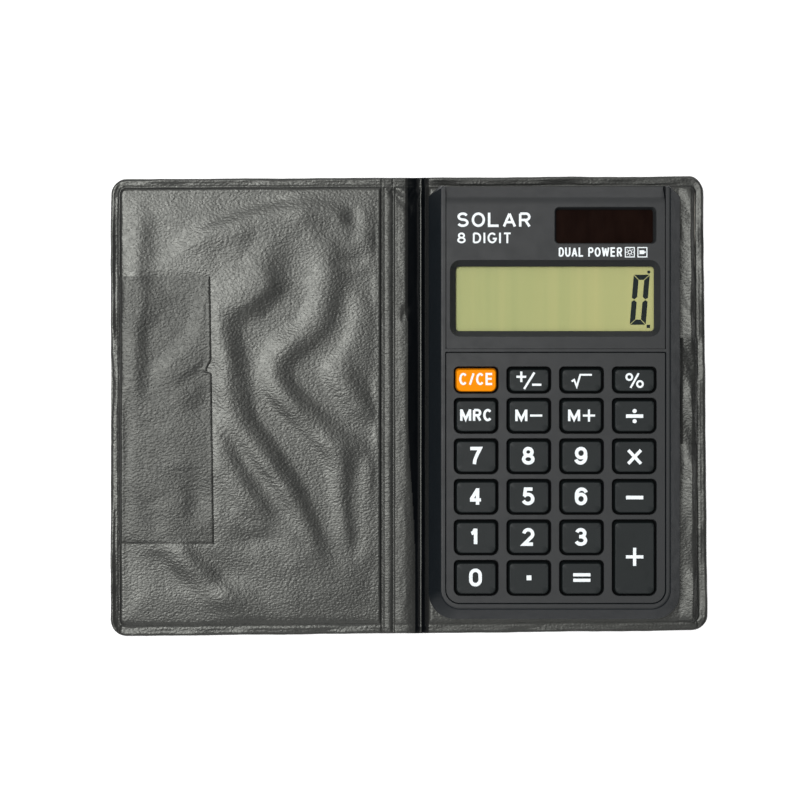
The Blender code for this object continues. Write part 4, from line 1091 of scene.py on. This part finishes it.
def recess(rim, window, rim_corner, window_corner):
    """A window's cutter: sloped sides from the rim to the window, and a fine chamfer at the rim."""
    x0, y0, x1, y1 = rim
    inner = (x0 + 0.12, y0 + 0.12, x1 - 0.12, y1 - 0.12)
    outer = (x0 - 0.08, y0 - 0.08, x1 + 0.08, y1 + 0.08)
    return [
        (rounded(*window, window_corner), PANEL_BOTTOM - 1.0),
        (rounded(*window, window_corner), PANEL_BOTTOM + 0.1),
        (rounded(*inner, rim_corner - 0.1), PANEL_TOP - 0.16),
        (rounded(*outer, rim_corner + 0.1), PANEL_TOP),
        (rounded(*outer, rim_corner + 0.1), PANEL_TOP + 1.0),
    ]


def fascia():
    """The upper panel, bent down over the head end, with its display and solar windows."""
    x0, x1 = FASCIA_LOW[0], FASCIA_HIGH[0]
    thickness = PANEL_TOP - PANEL_BOTTOM
    start = FASCIA_LOW[1]
    line = fascia_line(start)
    eased = fascia_line(start + PANEL_EDGE, -PANEL_EDGE)
    full, small = band(line, thickness), band(eased, thickness - 2 * PANEL_EDGE)
    rings = [(small, x0), (full, x0 + PANEL_EDGE), (full, x1 - PANEL_EDGE), (small, x1)]
    obj = loft("display_panel", rings, turn="X")
    combine(obj, loft("cutter", recess(DISPLAY_RIM, DISPLAY_WINDOW, 2.3, 0.8)))
    combine(obj, loft("cutter", recess(SOLAR_RIM, SOLAR_WINDOW, 1.0, 0.6)))
    finish(obj, PANEL_LOOK, "root", ("display_fascia",), sharp=28)


def key_outline(x0, y0, x1, y1, inset=0.0, foot=1.55, head=1.05):
    foot = max(foot - 0.55 * inset, 0.25)
    head = max(head - 0.55 * inset, 0.2)
    return rounded(x0 + inset, y0 + inset, x1 - inset, y1 - inset, (foot, foot, head, head), 6)


def key_opening(node):
    """The opening around a key, from the key's own flange."""
    low, high = box(node)
    grow = FLANGE_OVERHANG
    return low[0] + grow, low[1] + grow, high[0] - grow, high[1] - grow


KEYS = sorted(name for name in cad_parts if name.startswith("key_"))


def key_panel():
    """The lower panel, with a chamfered opening for each key."""
    rings = [
        (key_panel_outline(), PANEL_BOTTOM),
        (key_panel_outline(), PANEL_TOP - PANEL_EDGE),
        (key_panel_outline(-PANEL_EDGE), PANEL_TOP),
    ]
    obj = loft("key_panel", rings)
    cutters = []
    for node in KEYS:
        opening = key_opening(node)
        cutters.append([
            (key_outline(*opening), PANEL_BOTTOM - 1.0),
            (key_outline(*opening), PANEL_TOP - 0.14),
            (key_outline(*opening, -0.03), PANEL_TOP - 0.05),
            (key_outline(*opening, -0.10), PANEL_TOP),
            (key_outline(*opening, -0.10), PANEL_TOP + 1.0),
        ])
    combine(obj, loft("cutters", *cutters))
    finish(obj, PANEL_LOOK, "root", ("keypad_bezel",), sharp=28)


# ---------------------------------------------------------------- keys


# A dome's outer radius at its foot, its wall, and its radius at its top
DOME_RADII = (2.9, 0.4, 1.9)

CAP_CLEARANCE = 0.32
CAP_TAPER = 0.26
CAP_EDGE = 0.26
CAP_SHIFT = -0.12
FLANGE_TOP = 7.75


def keycap(node):
    """A keycap on its flange: sides that lean in, a rounded top edge and a shallow dish. Each key's
    body has its node's name."""
    low, high = box(node)
    x0, y0, x1, y1 = key_opening(node)
    top = high[2]

    def outline(inset, lean):
        shift = CAP_SHIFT * lean
        return key_outline(x0, y0 + shift, x1, y1 + shift, inset)

    # The flange is coloured near black as painted shade in the gap around the cap.
    flange = loft(f"flange_{node[4:]}", [
        (key_outline(low[0], low[1], high[0], high[1]), low[2]),
        (key_outline(low[0], low[1], high[0], high[1]), FLANGE_TOP),
    ])
    finish(flange, FLANGE_SHADE_LOOK, node, (node,))
    rings = [
        (outline(CAP_CLEARANCE, 0), FLANGE_TOP),
        (outline(CAP_CLEARANCE + CAP_TAPER, 1), top - CAP_EDGE),
    ]
    steps = 4
    for step in range(1, steps + 1):
        turn = math.radians(90 * step / steps)
        inset = CAP_CLEARANCE + CAP_TAPER + CAP_EDGE * (1 - math.cos(turn))
        rings.append((outline(inset, 1), top - CAP_EDGE * (1 - math.sin(turn))))
    rings.append((outline(CAP_CLEARANCE + CAP_TAPER + 1.4, 1), top - 0.03))
    obj = loft(f"cap_{node[4:]}", rings)
    look, slot = (ORANGE_LOOK, "clear_key_plastic") if node == "key_clear" else (KEY_LOOK, "key_plastic")
    finish(obj, look, node, (node,), sharp=40)


def keypad_mat():
    """The rubber mat under the keys: a sheet with a hollow dome for each key."""
    low, high = box("keypad_mat")
    sheet_top = low[2] + 0.5
    foot, wall, head = DOME_RADII
    plate = rounded(low[0], low[1], high[0], high[1], 1.0)
    sheet = loft("mat_sheet", [(plate, low[2]), (plate, sheet_top)])
    places = {}
    for node in KEYS:
        x0, y0, x1, y1 = key_opening(node)
        places[node] = ((x0 + x1) / 2, (y0 + y1) / 2)
    holes = [
        [(ring(*place, foot - wall), low[2] - 1), (ring(*place, foot - wall), sheet_top + 1)]
        for place in places.values()
    ]
    combine(sheet, loft("cutters", *holes))
    finish(sheet, SILICONE_LOOK, "root", ("keypad_mat",))
    base, top = sheet_top + 0.02, high[2]
    for node, place in places.items():
        dome = loft(f"dome_{node[4:]}", [
            (ring(*place, head - wall), top - wall),
            (ring(*place, foot - wall), base),
            (ring(*place, foot), base),
            (ring(*place, head + 0.15), top - 0.15),
            (ring(*place, head), top),
        ])
        finish(dome, SILICONE_LOOK, "root", ("keypad_mat",), weighted=False)
        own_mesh(dome)


# ---------------------------------------------------------------- legends

# Each letter's strokes on a unit square, and the widths of the letters that aren't one unit wide
GLYPHS = {
    "0": [arc(0.5, 0.66, 0.5, 0.34, 0, 180) + arc(0.5, 0.34, 0.5, 0.34, 180, 360) + [(1.0, 0.66)]],
    "1": [[(0.68, 0.0), (0.68, 1.08)], [(0.12, 0.74), (0.38, 0.79), (0.60, 1.0)]],
    "2": [arc(0.5, 0.70, 0.47, 0.30, 172, -38) + [(0.06, 0.0), (1.0, 0.0)]],
    "3": [arc(0.47, 0.76, 0.42, 0.24, 165, -90), arc(0.47, 0.26, 0.50, 0.26, 90, -162),
          [(0.30, 0.52), (0.5, 0.52)]],
    "4": [[(0.72, -0.08), (0.72, 1.06)], [(0.72, 0.99), (0.04, 0.28)], [(-0.08, 0.25), (1.08, 0.25)]],
    "5": [[(0.95, 1.0), (0.20, 1.0), (0.10, 0.50)], arc(0.46, 0.32, 0.52, 0.32, 146, -158)],
    "6": [arc(0.5, 0.32, 0.48, 0.32, 0, 360), arc(0.56, 0.60, 0.54, 0.40, 24, 180) + [(0.02, 0.34)]],
    "7": [[(-0.06, 1.0), (1.0, 1.0), (0.66, 0.56), (0.44, 0.22), (0.38, -0.08)]],
    "8": [arc(0.5, 0.76, 0.40, 0.24, 0, 360), arc(0.5, 0.26, 0.50, 0.26, 0, 360)],
    "9": [arc(0.5, 0.68, 0.48, 0.32, 0, 360), arc(0.44, 0.40, 0.54, 0.40, 204, 360) + [(0.98, 0.66)]],
    "A": [[(0.0, -0.06), (0.5, 1.0)], [(0.5, 1.0), (1.0, -0.06)], [(0.2, 0.30), (0.8, 0.30)]],
    "C": [arc(0.5, 0.5, 0.5, 0.5, 42, 318, 20)],
    "D": [[(0.0, 0.0), (0.0, 1.0)], [(0.0, 1.0)] + arc(0.42, 0.5, 0.56, 0.5, 90, -90) + [(0.0, 0.0)]],
    "E": [[(1.0, 1.0), (0.0, 1.0), (0.0, 0.0), (1.0, 0.0)], [(0.0, 0.52), (0.92, 0.52)]],
    "G": [arc(0.5, 0.5, 0.5, 0.5, 42, 345, 20) + [(0.99, 0.42), (0.58, 0.42)]],
    "I": [[(0.5, -0.08), (0.5, 1.08)]],
    "L": [[(0.0, 1.08), (0.0, 0.0), (1.0, 0.0)]],
    "M": [[(0.0, -0.08), (0.0, 1.08)], [(1.0, -0.08), (1.0, 1.08)], [(0.02, 1.0), (0.5, 0.08), (0.98, 1.0)]],
    "O": [arc(0.5, 0.5, 0.5, 0.5, 0, 360, 24)],
    "P": [[(0.0, -0.08), (0.0, 1.0)], [(0.0, 1.0)] + arc(0.6, 0.74, 0.38, 0.26, 90, -90) + [(0.0, 0.48)]],
    "R": [[(0.0, -0.08), (0.0, 1.0)], [(0.0, 1.0)] + arc(0.6, 0.74, 0.36, 0.26, 90, -90) + [(0.0, 0.48)],
          [(0.52, 0.48), (0.98, -0.06)]],
    "S": [arc(0.5, 0.755, 0.44, 0.245, 22, 270) + arc(0.5, 0.255, 0.48, 0.255, 90, -158)[1:]],
    "T": [[(0.0, 1.0), (1.0, 1.0)], [(0.5, 1.0), (0.5, -0.08)]],
    "U": [[(0.0, 1.08)] + arc(0.5, 0.36, 0.5, 0.36, 180, 360) + [(1.0, 1.08)]],
    "W": [[(0.0, 1.08), (0.26, -0.04)], [(0.25, 0.0), (0.5, 0.96)], [(0.5, 0.96), (0.75, 0.0)],
          [(0.74, -0.04), (1.0, 1.08)]],
    "/": [[(0.05, -0.06), (0.95, 1.06)]],
    "%": [arc(0.17, 0.77, 0.18, 0.23, 0, 360), arc(0.83, 0.23, 0.18, 0.23, 0, 360),
          [(0.25, -0.06), (0.75, 1.06)]],
}
WIDTHS = {"I": 0.30, "1": 0.72, "/": 0.80, "M": 1.28, "W": 1.45, "O": 1.12, "C": 1.06, "G": 1.12, "%": 1.35,
          "A": 1.12, " ": 0.42}


def closed_line(points):
    return (Vector(points[0]) - Vector(points[-1])).length < 1e-6


def add_ribbon(form, points, thickness, low, high):
    """Adds an upright-sided ribbon along points, a ring if they end where they start."""
    closed = closed_line(points)
    if closed:
        points = points[:-1]
    left, right = sides(points, thickness, closed)
    levels = []
    for height in (low, high):
        levels.append([[form.verts.new((p.x, p.y, height)) for p in side] for side in (left, right)])
    (lower_left, lower_right), (upper_left, upper_right) = levels
    count = len(points)
    for index in range(count if closed else count - 1):
        after = (index + 1) % count
        for one, two in (
            (lower_left, lower_right),
            (upper_right, upper_left),
            (upper_left, lower_left),
            (lower_right, upper_right),
        ):
            form.faces.new((one[index], two[index], two[after], one[after]))
    if not closed:
        for end in (0, -1):
            form.faces.new((lower_left[end], lower_right[end], upper_right[end], upper_left[end]))


def ribbons(name, strokes, low, high):
    """One printed mark of strokes, each (points, thickness), joined where they cross."""
    form = bmesh.new()
    add_ribbon(form, *strokes[0], low, high)
    obj = new_object(name, form)
    if len(strokes) > 1:
        form = bmesh.new()
        for points, thickness in strokes[1:]:
            add_ribbon(form, points, thickness, low, high)
        combine(obj, new_object("others", form), "UNION", own_overlaps=True)
    return obj


def text_strokes(text, x, y, width, height, thickness, gap=0.30):
    """The strokes of a line of text in a box whose lower left corner is x, y."""
    shares = [WIDTHS.get(letter, 1.0) for letter in text]
    unit = width / (sum(shares) + gap * (len(text) - 1))
    strokes = []
    for letter, share in zip(text, shares):
        inner = share * unit - thickness
        left, foot = x + thickness / 2, y + thickness / 2
        for stroke in GLYPHS.get(letter, []):
            places = [(left + px * inner, foot + py * (height - thickness)) for px, py in stroke]
            if closed_line(stroke):
                places[-1] = places[0]
            strokes.append((places, thickness))
        x += (share + gap) * unit
    return strokes


def moved(strokes, x, y):
    return [([(px + x, py + y) for px, py in points], thickness) for points, thickness in strokes]


def bar(x, y, length, thickness, angle=0.0):
    """A straight stroke about x, y."""
    way = Vector((math.cos(math.radians(angle)), math.sin(math.radians(angle)))) * length / 2
    return ([(x - way.x, y - way.y), (x + way.x, y + way.y)], thickness)


def dot(x, y, radius):
    """A filled dot as a ring whose hole closes."""
    return (arc(x, y, radius / 2, radius / 2, 0, 360, 12), radius * 0.98)


def words(text, width, height, thickness, gap=0.30):
    return moved(text_strokes(text, 0, 0, width, height, thickness, gap), -width / 2, -height / 2)


def key_marks():
    """Each key's printed mark, about its own middle."""
    digit = {str(value): words(str(value), 2.9, 4.05, 0.78) for value in range(10)}
    digit["1"] = words("1", 2.5, 4.05, 0.80)
    marks = {f"key_{name}": strokes for name, strokes in digit.items()}
    sign = 0.72
    marks["key_clear"] = words("C/CE", 7.7, 2.75, 0.48, 0.16)
    marks["key_memory_recall"] = words("MRC", 7.3, 2.8, 0.56, 0.18)
    marks["key_memory_minus"] = moved(words("M", 2.75, 2.8, 0.56), -1.75, 0) + [bar(1.62, -0.05, 2.75, 0.48)]
    marks["key_memory_plus"] = moved(words("M", 2.75, 2.8, 0.56), -1.75, 0) + [
        bar(1.62, -0.05, 2.75, 0.48),
        bar(1.62, -0.05, 2.75, 0.48, 90),
    ]
    marks["key_divide"] = [bar(0, 0, 3.9, 0.80), dot(0, 1.15, 0.48), dot(0, -1.15, 0.48)]
    marks["key_multiply"] = [bar(0, 0, 4.2, sign, 47), bar(0, 0, 4.2, sign, -47)]
    marks["key_minus"] = [bar(0, 0, 3.9, 0.80)]
    marks["key_plus"] = [bar(0, 0, 3.95, sign), bar(0, 0, 4.1, sign, 90)]
    marks["key_equals"] = [bar(0, 0.62, 3.9, 0.72), bar(0, -0.62, 3.9, 0.72)]
    marks["key_point"] = [bar(0, 0, 1.1, 1.1)]
    marks["key_percent"] = words("%", 4.1, 3.4, 0.44)
    marks["key_plus_minus"] = [
        bar(-1.75, 0.85, 2.2, 0.50),
        bar(-1.75, 0.85, 2.4, 0.50, 90),
        bar(0.05, -0.05, 4.4, 0.50, 58),
        bar(1.75, -0.95, 2.1, 0.50),
    ]
    marks["key_square_root"] = [
        ([(-2.3, -0.20), (-1.75, 0.15), (-1.15, -1.35), (-0.35, 1.30), (2.3, 1.30)], 0.42),
    ]
    return marks


MARK_OFFSETS = {
    "key_clear": (0.0, 0.35),
    "key_memory_recall": (0.0, 0.28),
    "key_memory_minus": (0.0, 0.22),
    "key_memory_plus": (0.0, 0.22),
    "key_1": (-0.45, 0.27),
    "key_point": (0.0, 0.20),
    "key_equals": (0.0, 0.27),
    "key_plus": (0.0, 0.35),
    "key_divide": (0.0, 0.05),
}
DIGIT_OFFSET = (-0.17, 0.27)


def legends():
    """The printed marks on the keycaps, each riding with its key."""
    for node, strokes in key_marks().items():
        x0, y0, x1, y1 = key_opening(node)
        top = box(node)[1][2]
        shift = MARK_OFFSETS.get(node, DIGIT_OFFSET if node[4:].isdigit() else (0.0, 0.0))
        x, y = (x0 + x1) / 2 + shift[0], (y0 + y1) / 2 + CAP_SHIFT + shift[1]
        obj = ribbons(f"mark_{node[4:]}", moved(strokes, x, y), top - 0.08, top + 0.02)
        finish(obj, INK_LOOK, node, sharp=32, weighted=False)


def icon_frame(x0, y0, x1, y1, thickness):
    """A square outline as one closed stroke."""
    half = thickness / 2
    corners = [(x0 + half, y0 + half), (x1 - half, y0 + half), (x1 - half, y1 - half), (x0 + half, y1 - half)]
    middle = ((x0 + x1) / 2, y0 + half)
    return ([middle, *corners[1:], corners[0], middle], thickness)


def fascia_print():
    """Generic words and two small icons, a sun and a cell, printed on the upper panel."""
    low, high = PANEL_TOP - 0.03, PANEL_TOP + 0.015
    rows = {
        "print_title": text_strokes("SOLAR", 10.8, 40.5, 16.8, 3.3, 0.56, 0.24),
        "print_digits": text_strokes("8 DIGIT", 10.9, 36.8, 12.3, 2.45, 0.41, 0.22),
        "print_power": text_strokes("DUAL POWER", 33.9, 33.75, 14.4, 2.15, 0.37, 0.19),
    }
    sun = [icon_frame(48.9, 33.6, 51.15, 35.95, 0.22), (arc(50.02, 34.78, 0.42, 0.42, 0, 360, 12), 0.18)]
    for ray in range(8):
        turn = math.radians(45 * ray)
        sun.append(bar(50.02 + 0.76 * math.cos(turn), 34.78 + 0.76 * math.sin(turn), 0.24, 0.16, 45 * ray))
    rows["print_sun"] = sun
    rows["print_cell"] = [
        icon_frame(51.75, 33.6, 54.0, 35.95, 0.22),
        bar(52.75, 34.78, 1.05, 0.85),
        bar(53.45, 34.78, 0.30, 0.40),
    ]
    for name, strokes in rows.items():
        finish(ribbons(name, strokes, low, high), INK_LOOK, "root", weighted=False)


# ---------------------------------------------------------------- display and solar cell


def display():
    """The liquid crystal glass, its lit segments and point, and the clear lens over them."""
    low, high = box("display_glass")
    x0, y0, x1, y1 = low[0], low[1], high[0], high[1]
    edge = 0.1
    glass = loft("crystal_glass", [
        (rounded(x0 + edge, y0 + edge, x1 - edge, y1 - edge, 0.3), low[2]),
        (rounded(x0, y0, x1, y1, 0.4), low[2] + edge),
        (rounded(x0, y0, x1, y1, 0.4), high[2] - edge),
        (rounded(x0 + edge, y0 + edge, x1 - edge, y1 - edge, 0.3), high[2]),
    ])
    finish(glass, CRYSTAL_LOOK, "root", ("display_glass",))
    segments(high[2])
    low, high = box("display_lens")
    lens = loft("clear_window", [
        (rounded(low[0], low[1], high[0], high[1], 0.8), low[2]),
        (rounded(low[0], low[1], high[0], high[1], 0.8), high[2] - edge),
        (rounded(low[0] + edge, low[1] + edge, high[0] - edge, high[1] - edge, 0.8), high[2]),
    ])
    finish(lens, LENS_LOOK, "root", ("display_lens",))


def segments(surface):
    """A leaning seven-segment nought without its middle bar, a square point and a small dot."""
    x0, x1, y0, y1 = 50.2, 53.85, 18.4, 29.8
    bar_width, gap = 1.18, 0.08
    lean = math.tan(math.radians(4.7))
    middle = (y0 + y1) / 2
    half = bar_width / 2
    shapes = []
    tip = half * 0.9
    for x, inner in ((x0 + half, 1), (x1 - half, -1)):
        lower = [(x - inner * half, y0 + gap * 1.6), (x + inner * half, y0 + bar_width + gap)]
        upper = [(x - inner * half, y1 - gap * 1.6), (x + inner * half, y1 - bar_width - gap)]
        inside, outside = x + inner * half, x - inner * half
        foot, head = middle - gap, middle + gap
        shapes.append([*lower, (inside, foot - tip), (x, foot), (outside, foot - tip * 0.6)])
        shapes.append([(outside, head + tip * 0.6), (x, head), (inside, head + tip), *upper[::-1]])
    inset = gap * 1.4
    shapes.append([
        (x0 + inset, y1),
        (x0 + bar_width + inset, y1 - bar_width),
        (x1 - bar_width - inset, y1 - bar_width),
        (x1 - inset, y1),
    ])
    shapes.append([
        (x0 + inset, y0),
        (x1 - inset, y0),
        (x1 - bar_width - inset, y0 + bar_width),
        (x0 + bar_width + inset, y0 + bar_width),
    ])
    leaned = [[(x + (y - y0) * lean, y) for x, y in shape] for shape in shapes]
    leaned.append([(54.06, 17.65), (54.85, 17.65), (54.85, 18.4), (54.06, 18.4)])
    leaned.append(arc(54.55, 30.4, 0.36, 0.36, 0, 330, 11))
    low, high = surface - 0.02, surface + 0.02
    obj = loft("lit_segments", *([(shape, low), (shape, high)] for shape in leaned))
    finish(obj, SEGMENT_LOOK, "root", weighted=False)


def solar():
    """The solar cell's glass, ground at its edges."""
    low, high = box("solar_cell")
    edge = 0.18
    x0, y0, x1, y1 = low[0], low[1], high[0], high[1]
    cell = loft("solar_panel", [
        (rounded(x0, y0, x1, y1, 0.5), low[2]),
        (rounded(x0, y0, x1, y1, 0.5), high[2] - edge),
        (rounded(x0 + edge, y0 + edge, x1 - edge, y1 - edge, 0.4), high[2]),
    ])
    finish(cell, SOLAR_LOOK, "root", ("solar_cell",))


# ---------------------------------------------------------------- carried-over nodes

NODE_LOOKS = {
    "stiffener_left": CARD_LOOK,
    "stiffener_right": CARD_LOOK,
    "circuit_board": BOARD_LOOK,
    "logic_chip": RESIN_LOOK,
    "capacitor": CAPACITOR_LOOK,
    "coin_cell": STEEL_LOOK,
    "contact_negative": STEEL_LOOK,
    "contact_positive": STEEL_LOOK,
    "zebra_strip": SILICONE_LOOK,
    "solar_wire_positive": RED_LOOK,
    "solar_wire_negative": BLACK_LOOK,
}


def carried_over():
    """Better materials for the nodes whose shapes stay."""
    for name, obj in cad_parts.items():
        look = STEEL_LOOK if "screw" in name else NODE_LOOKS.get(name)
        if look:
            obj.data.materials.clear()
            obj.data.materials.append(look)


# ---------------------------------------------------------------- floor, light and camera


# Soft lights around the object: (direction, sharpness, radiance), over an even dim room
SOFT_LIGHTS = [
    ((-0.305, 0.113, 1.0), 50.0, 17.8),
    ((0.10, 0.85, 0.55), 8.0, 1.2),
    ((-0.90, -0.42, 0.35), 5.0, 0.5),
    ((0.62, -0.10, 0.78), 24.0, 0.35),
    ((0.0, -0.62, 0.78), 20.0, 1.6),
    ((0.0, 0.50, 0.866), 40.0, 1.5),
]
ROOM_LIGHT = 0.12


def studio():
    """A pale floor, broad soft lights high on the left and at the head end, and the camera above."""
    bpy.ops.mesh.primitive_plane_add(size=16.0, location=(0, 0, -0.0003))
    floor = bpy.context.object
    floor.name = "floor"
    look = Look("pale_floor", Specular_IOR_Level=0.1, Emission_Strength=0.35)
    look.shader.inputs["Emission Color"].default_value = (1.0, 1.0, 1.0, 1.0)
    look.colour(look.noise(400.0), (0.3, (0.86, 0.86, 0.86)), (0.7, (0.90, 0.90, 0.90)))
    look.roughness(look.noise(90.0), 0.8, 0.9)
    floor.data.materials.append(look.material)

    world = bpy.data.worlds.new("soft_studio")
    bpy.context.scene.world = world
    world.use_nodes = True
    nodes, links = world.node_tree.nodes, world.node_tree.links
    background = nodes["Background"]
    place = nodes.new("ShaderNodeTexCoord")
    total = None
    for direction, sharpness, radiance in SOFT_LIGHTS:
        toward = nodes.new("ShaderNodeVectorMath")
        toward.operation = "DOT_PRODUCT"
        toward.inputs[1].default_value = Vector(direction).normalized()
        facing = nodes.new("ShaderNodeMath")
        facing.operation = "MAXIMUM"
        facing.inputs[1].default_value = 0.0
        spread = nodes.new("ShaderNodeMath")
        spread.operation = "POWER"
        spread.inputs[1].default_value = sharpness
        strength = nodes.new("ShaderNodeMath")
        strength.operation = "MULTIPLY_ADD"
        strength.inputs[1].default_value = radiance
        strength.inputs[2].default_value = ROOM_LIGHT
        links.new(place.outputs["Generated"], toward.inputs[0])
        links.new(toward.outputs["Value"], facing.inputs[0])
        links.new(facing.outputs[0], spread.inputs[0])
        links.new(spread.outputs[0], strength.inputs[0])
        if total:
            links.new(total, strength.inputs[2])
        total = strength.outputs[0]
    links.new(total, background.inputs["Strength"])
    background.inputs["Color"].default_value = (1.0, 1.0, 1.0, 1.0)

    camera = bpy.data.cameras.new("camera")
    camera.lens = 85
    camera.sensor_width = 36
    camera.clip_start = 0.01
    holder = bpy.data.objects.new("camera", camera)
    holder.location = (-0.002083, 0.001273, 0.4373)
    bpy.context.scene.collection.objects.link(holder)
    bpy.context.scene.camera = holder
    bpy.context.scene.view_settings.view_transform = "Standard"


# ---------------------------------------------------------------- the whole object

studio()
for wallet_side in ("left", "right"):
    outer_sheet(wallet_side)
    lining(wallet_side)
rear_shell()
card_tab()
retaining_tab()
housing()
fascia()
key_panel()
for key_node in KEYS:
    keycap(key_node)
keypad_mat()
legends()
fascia_print()
display()
solar()
carried_over()
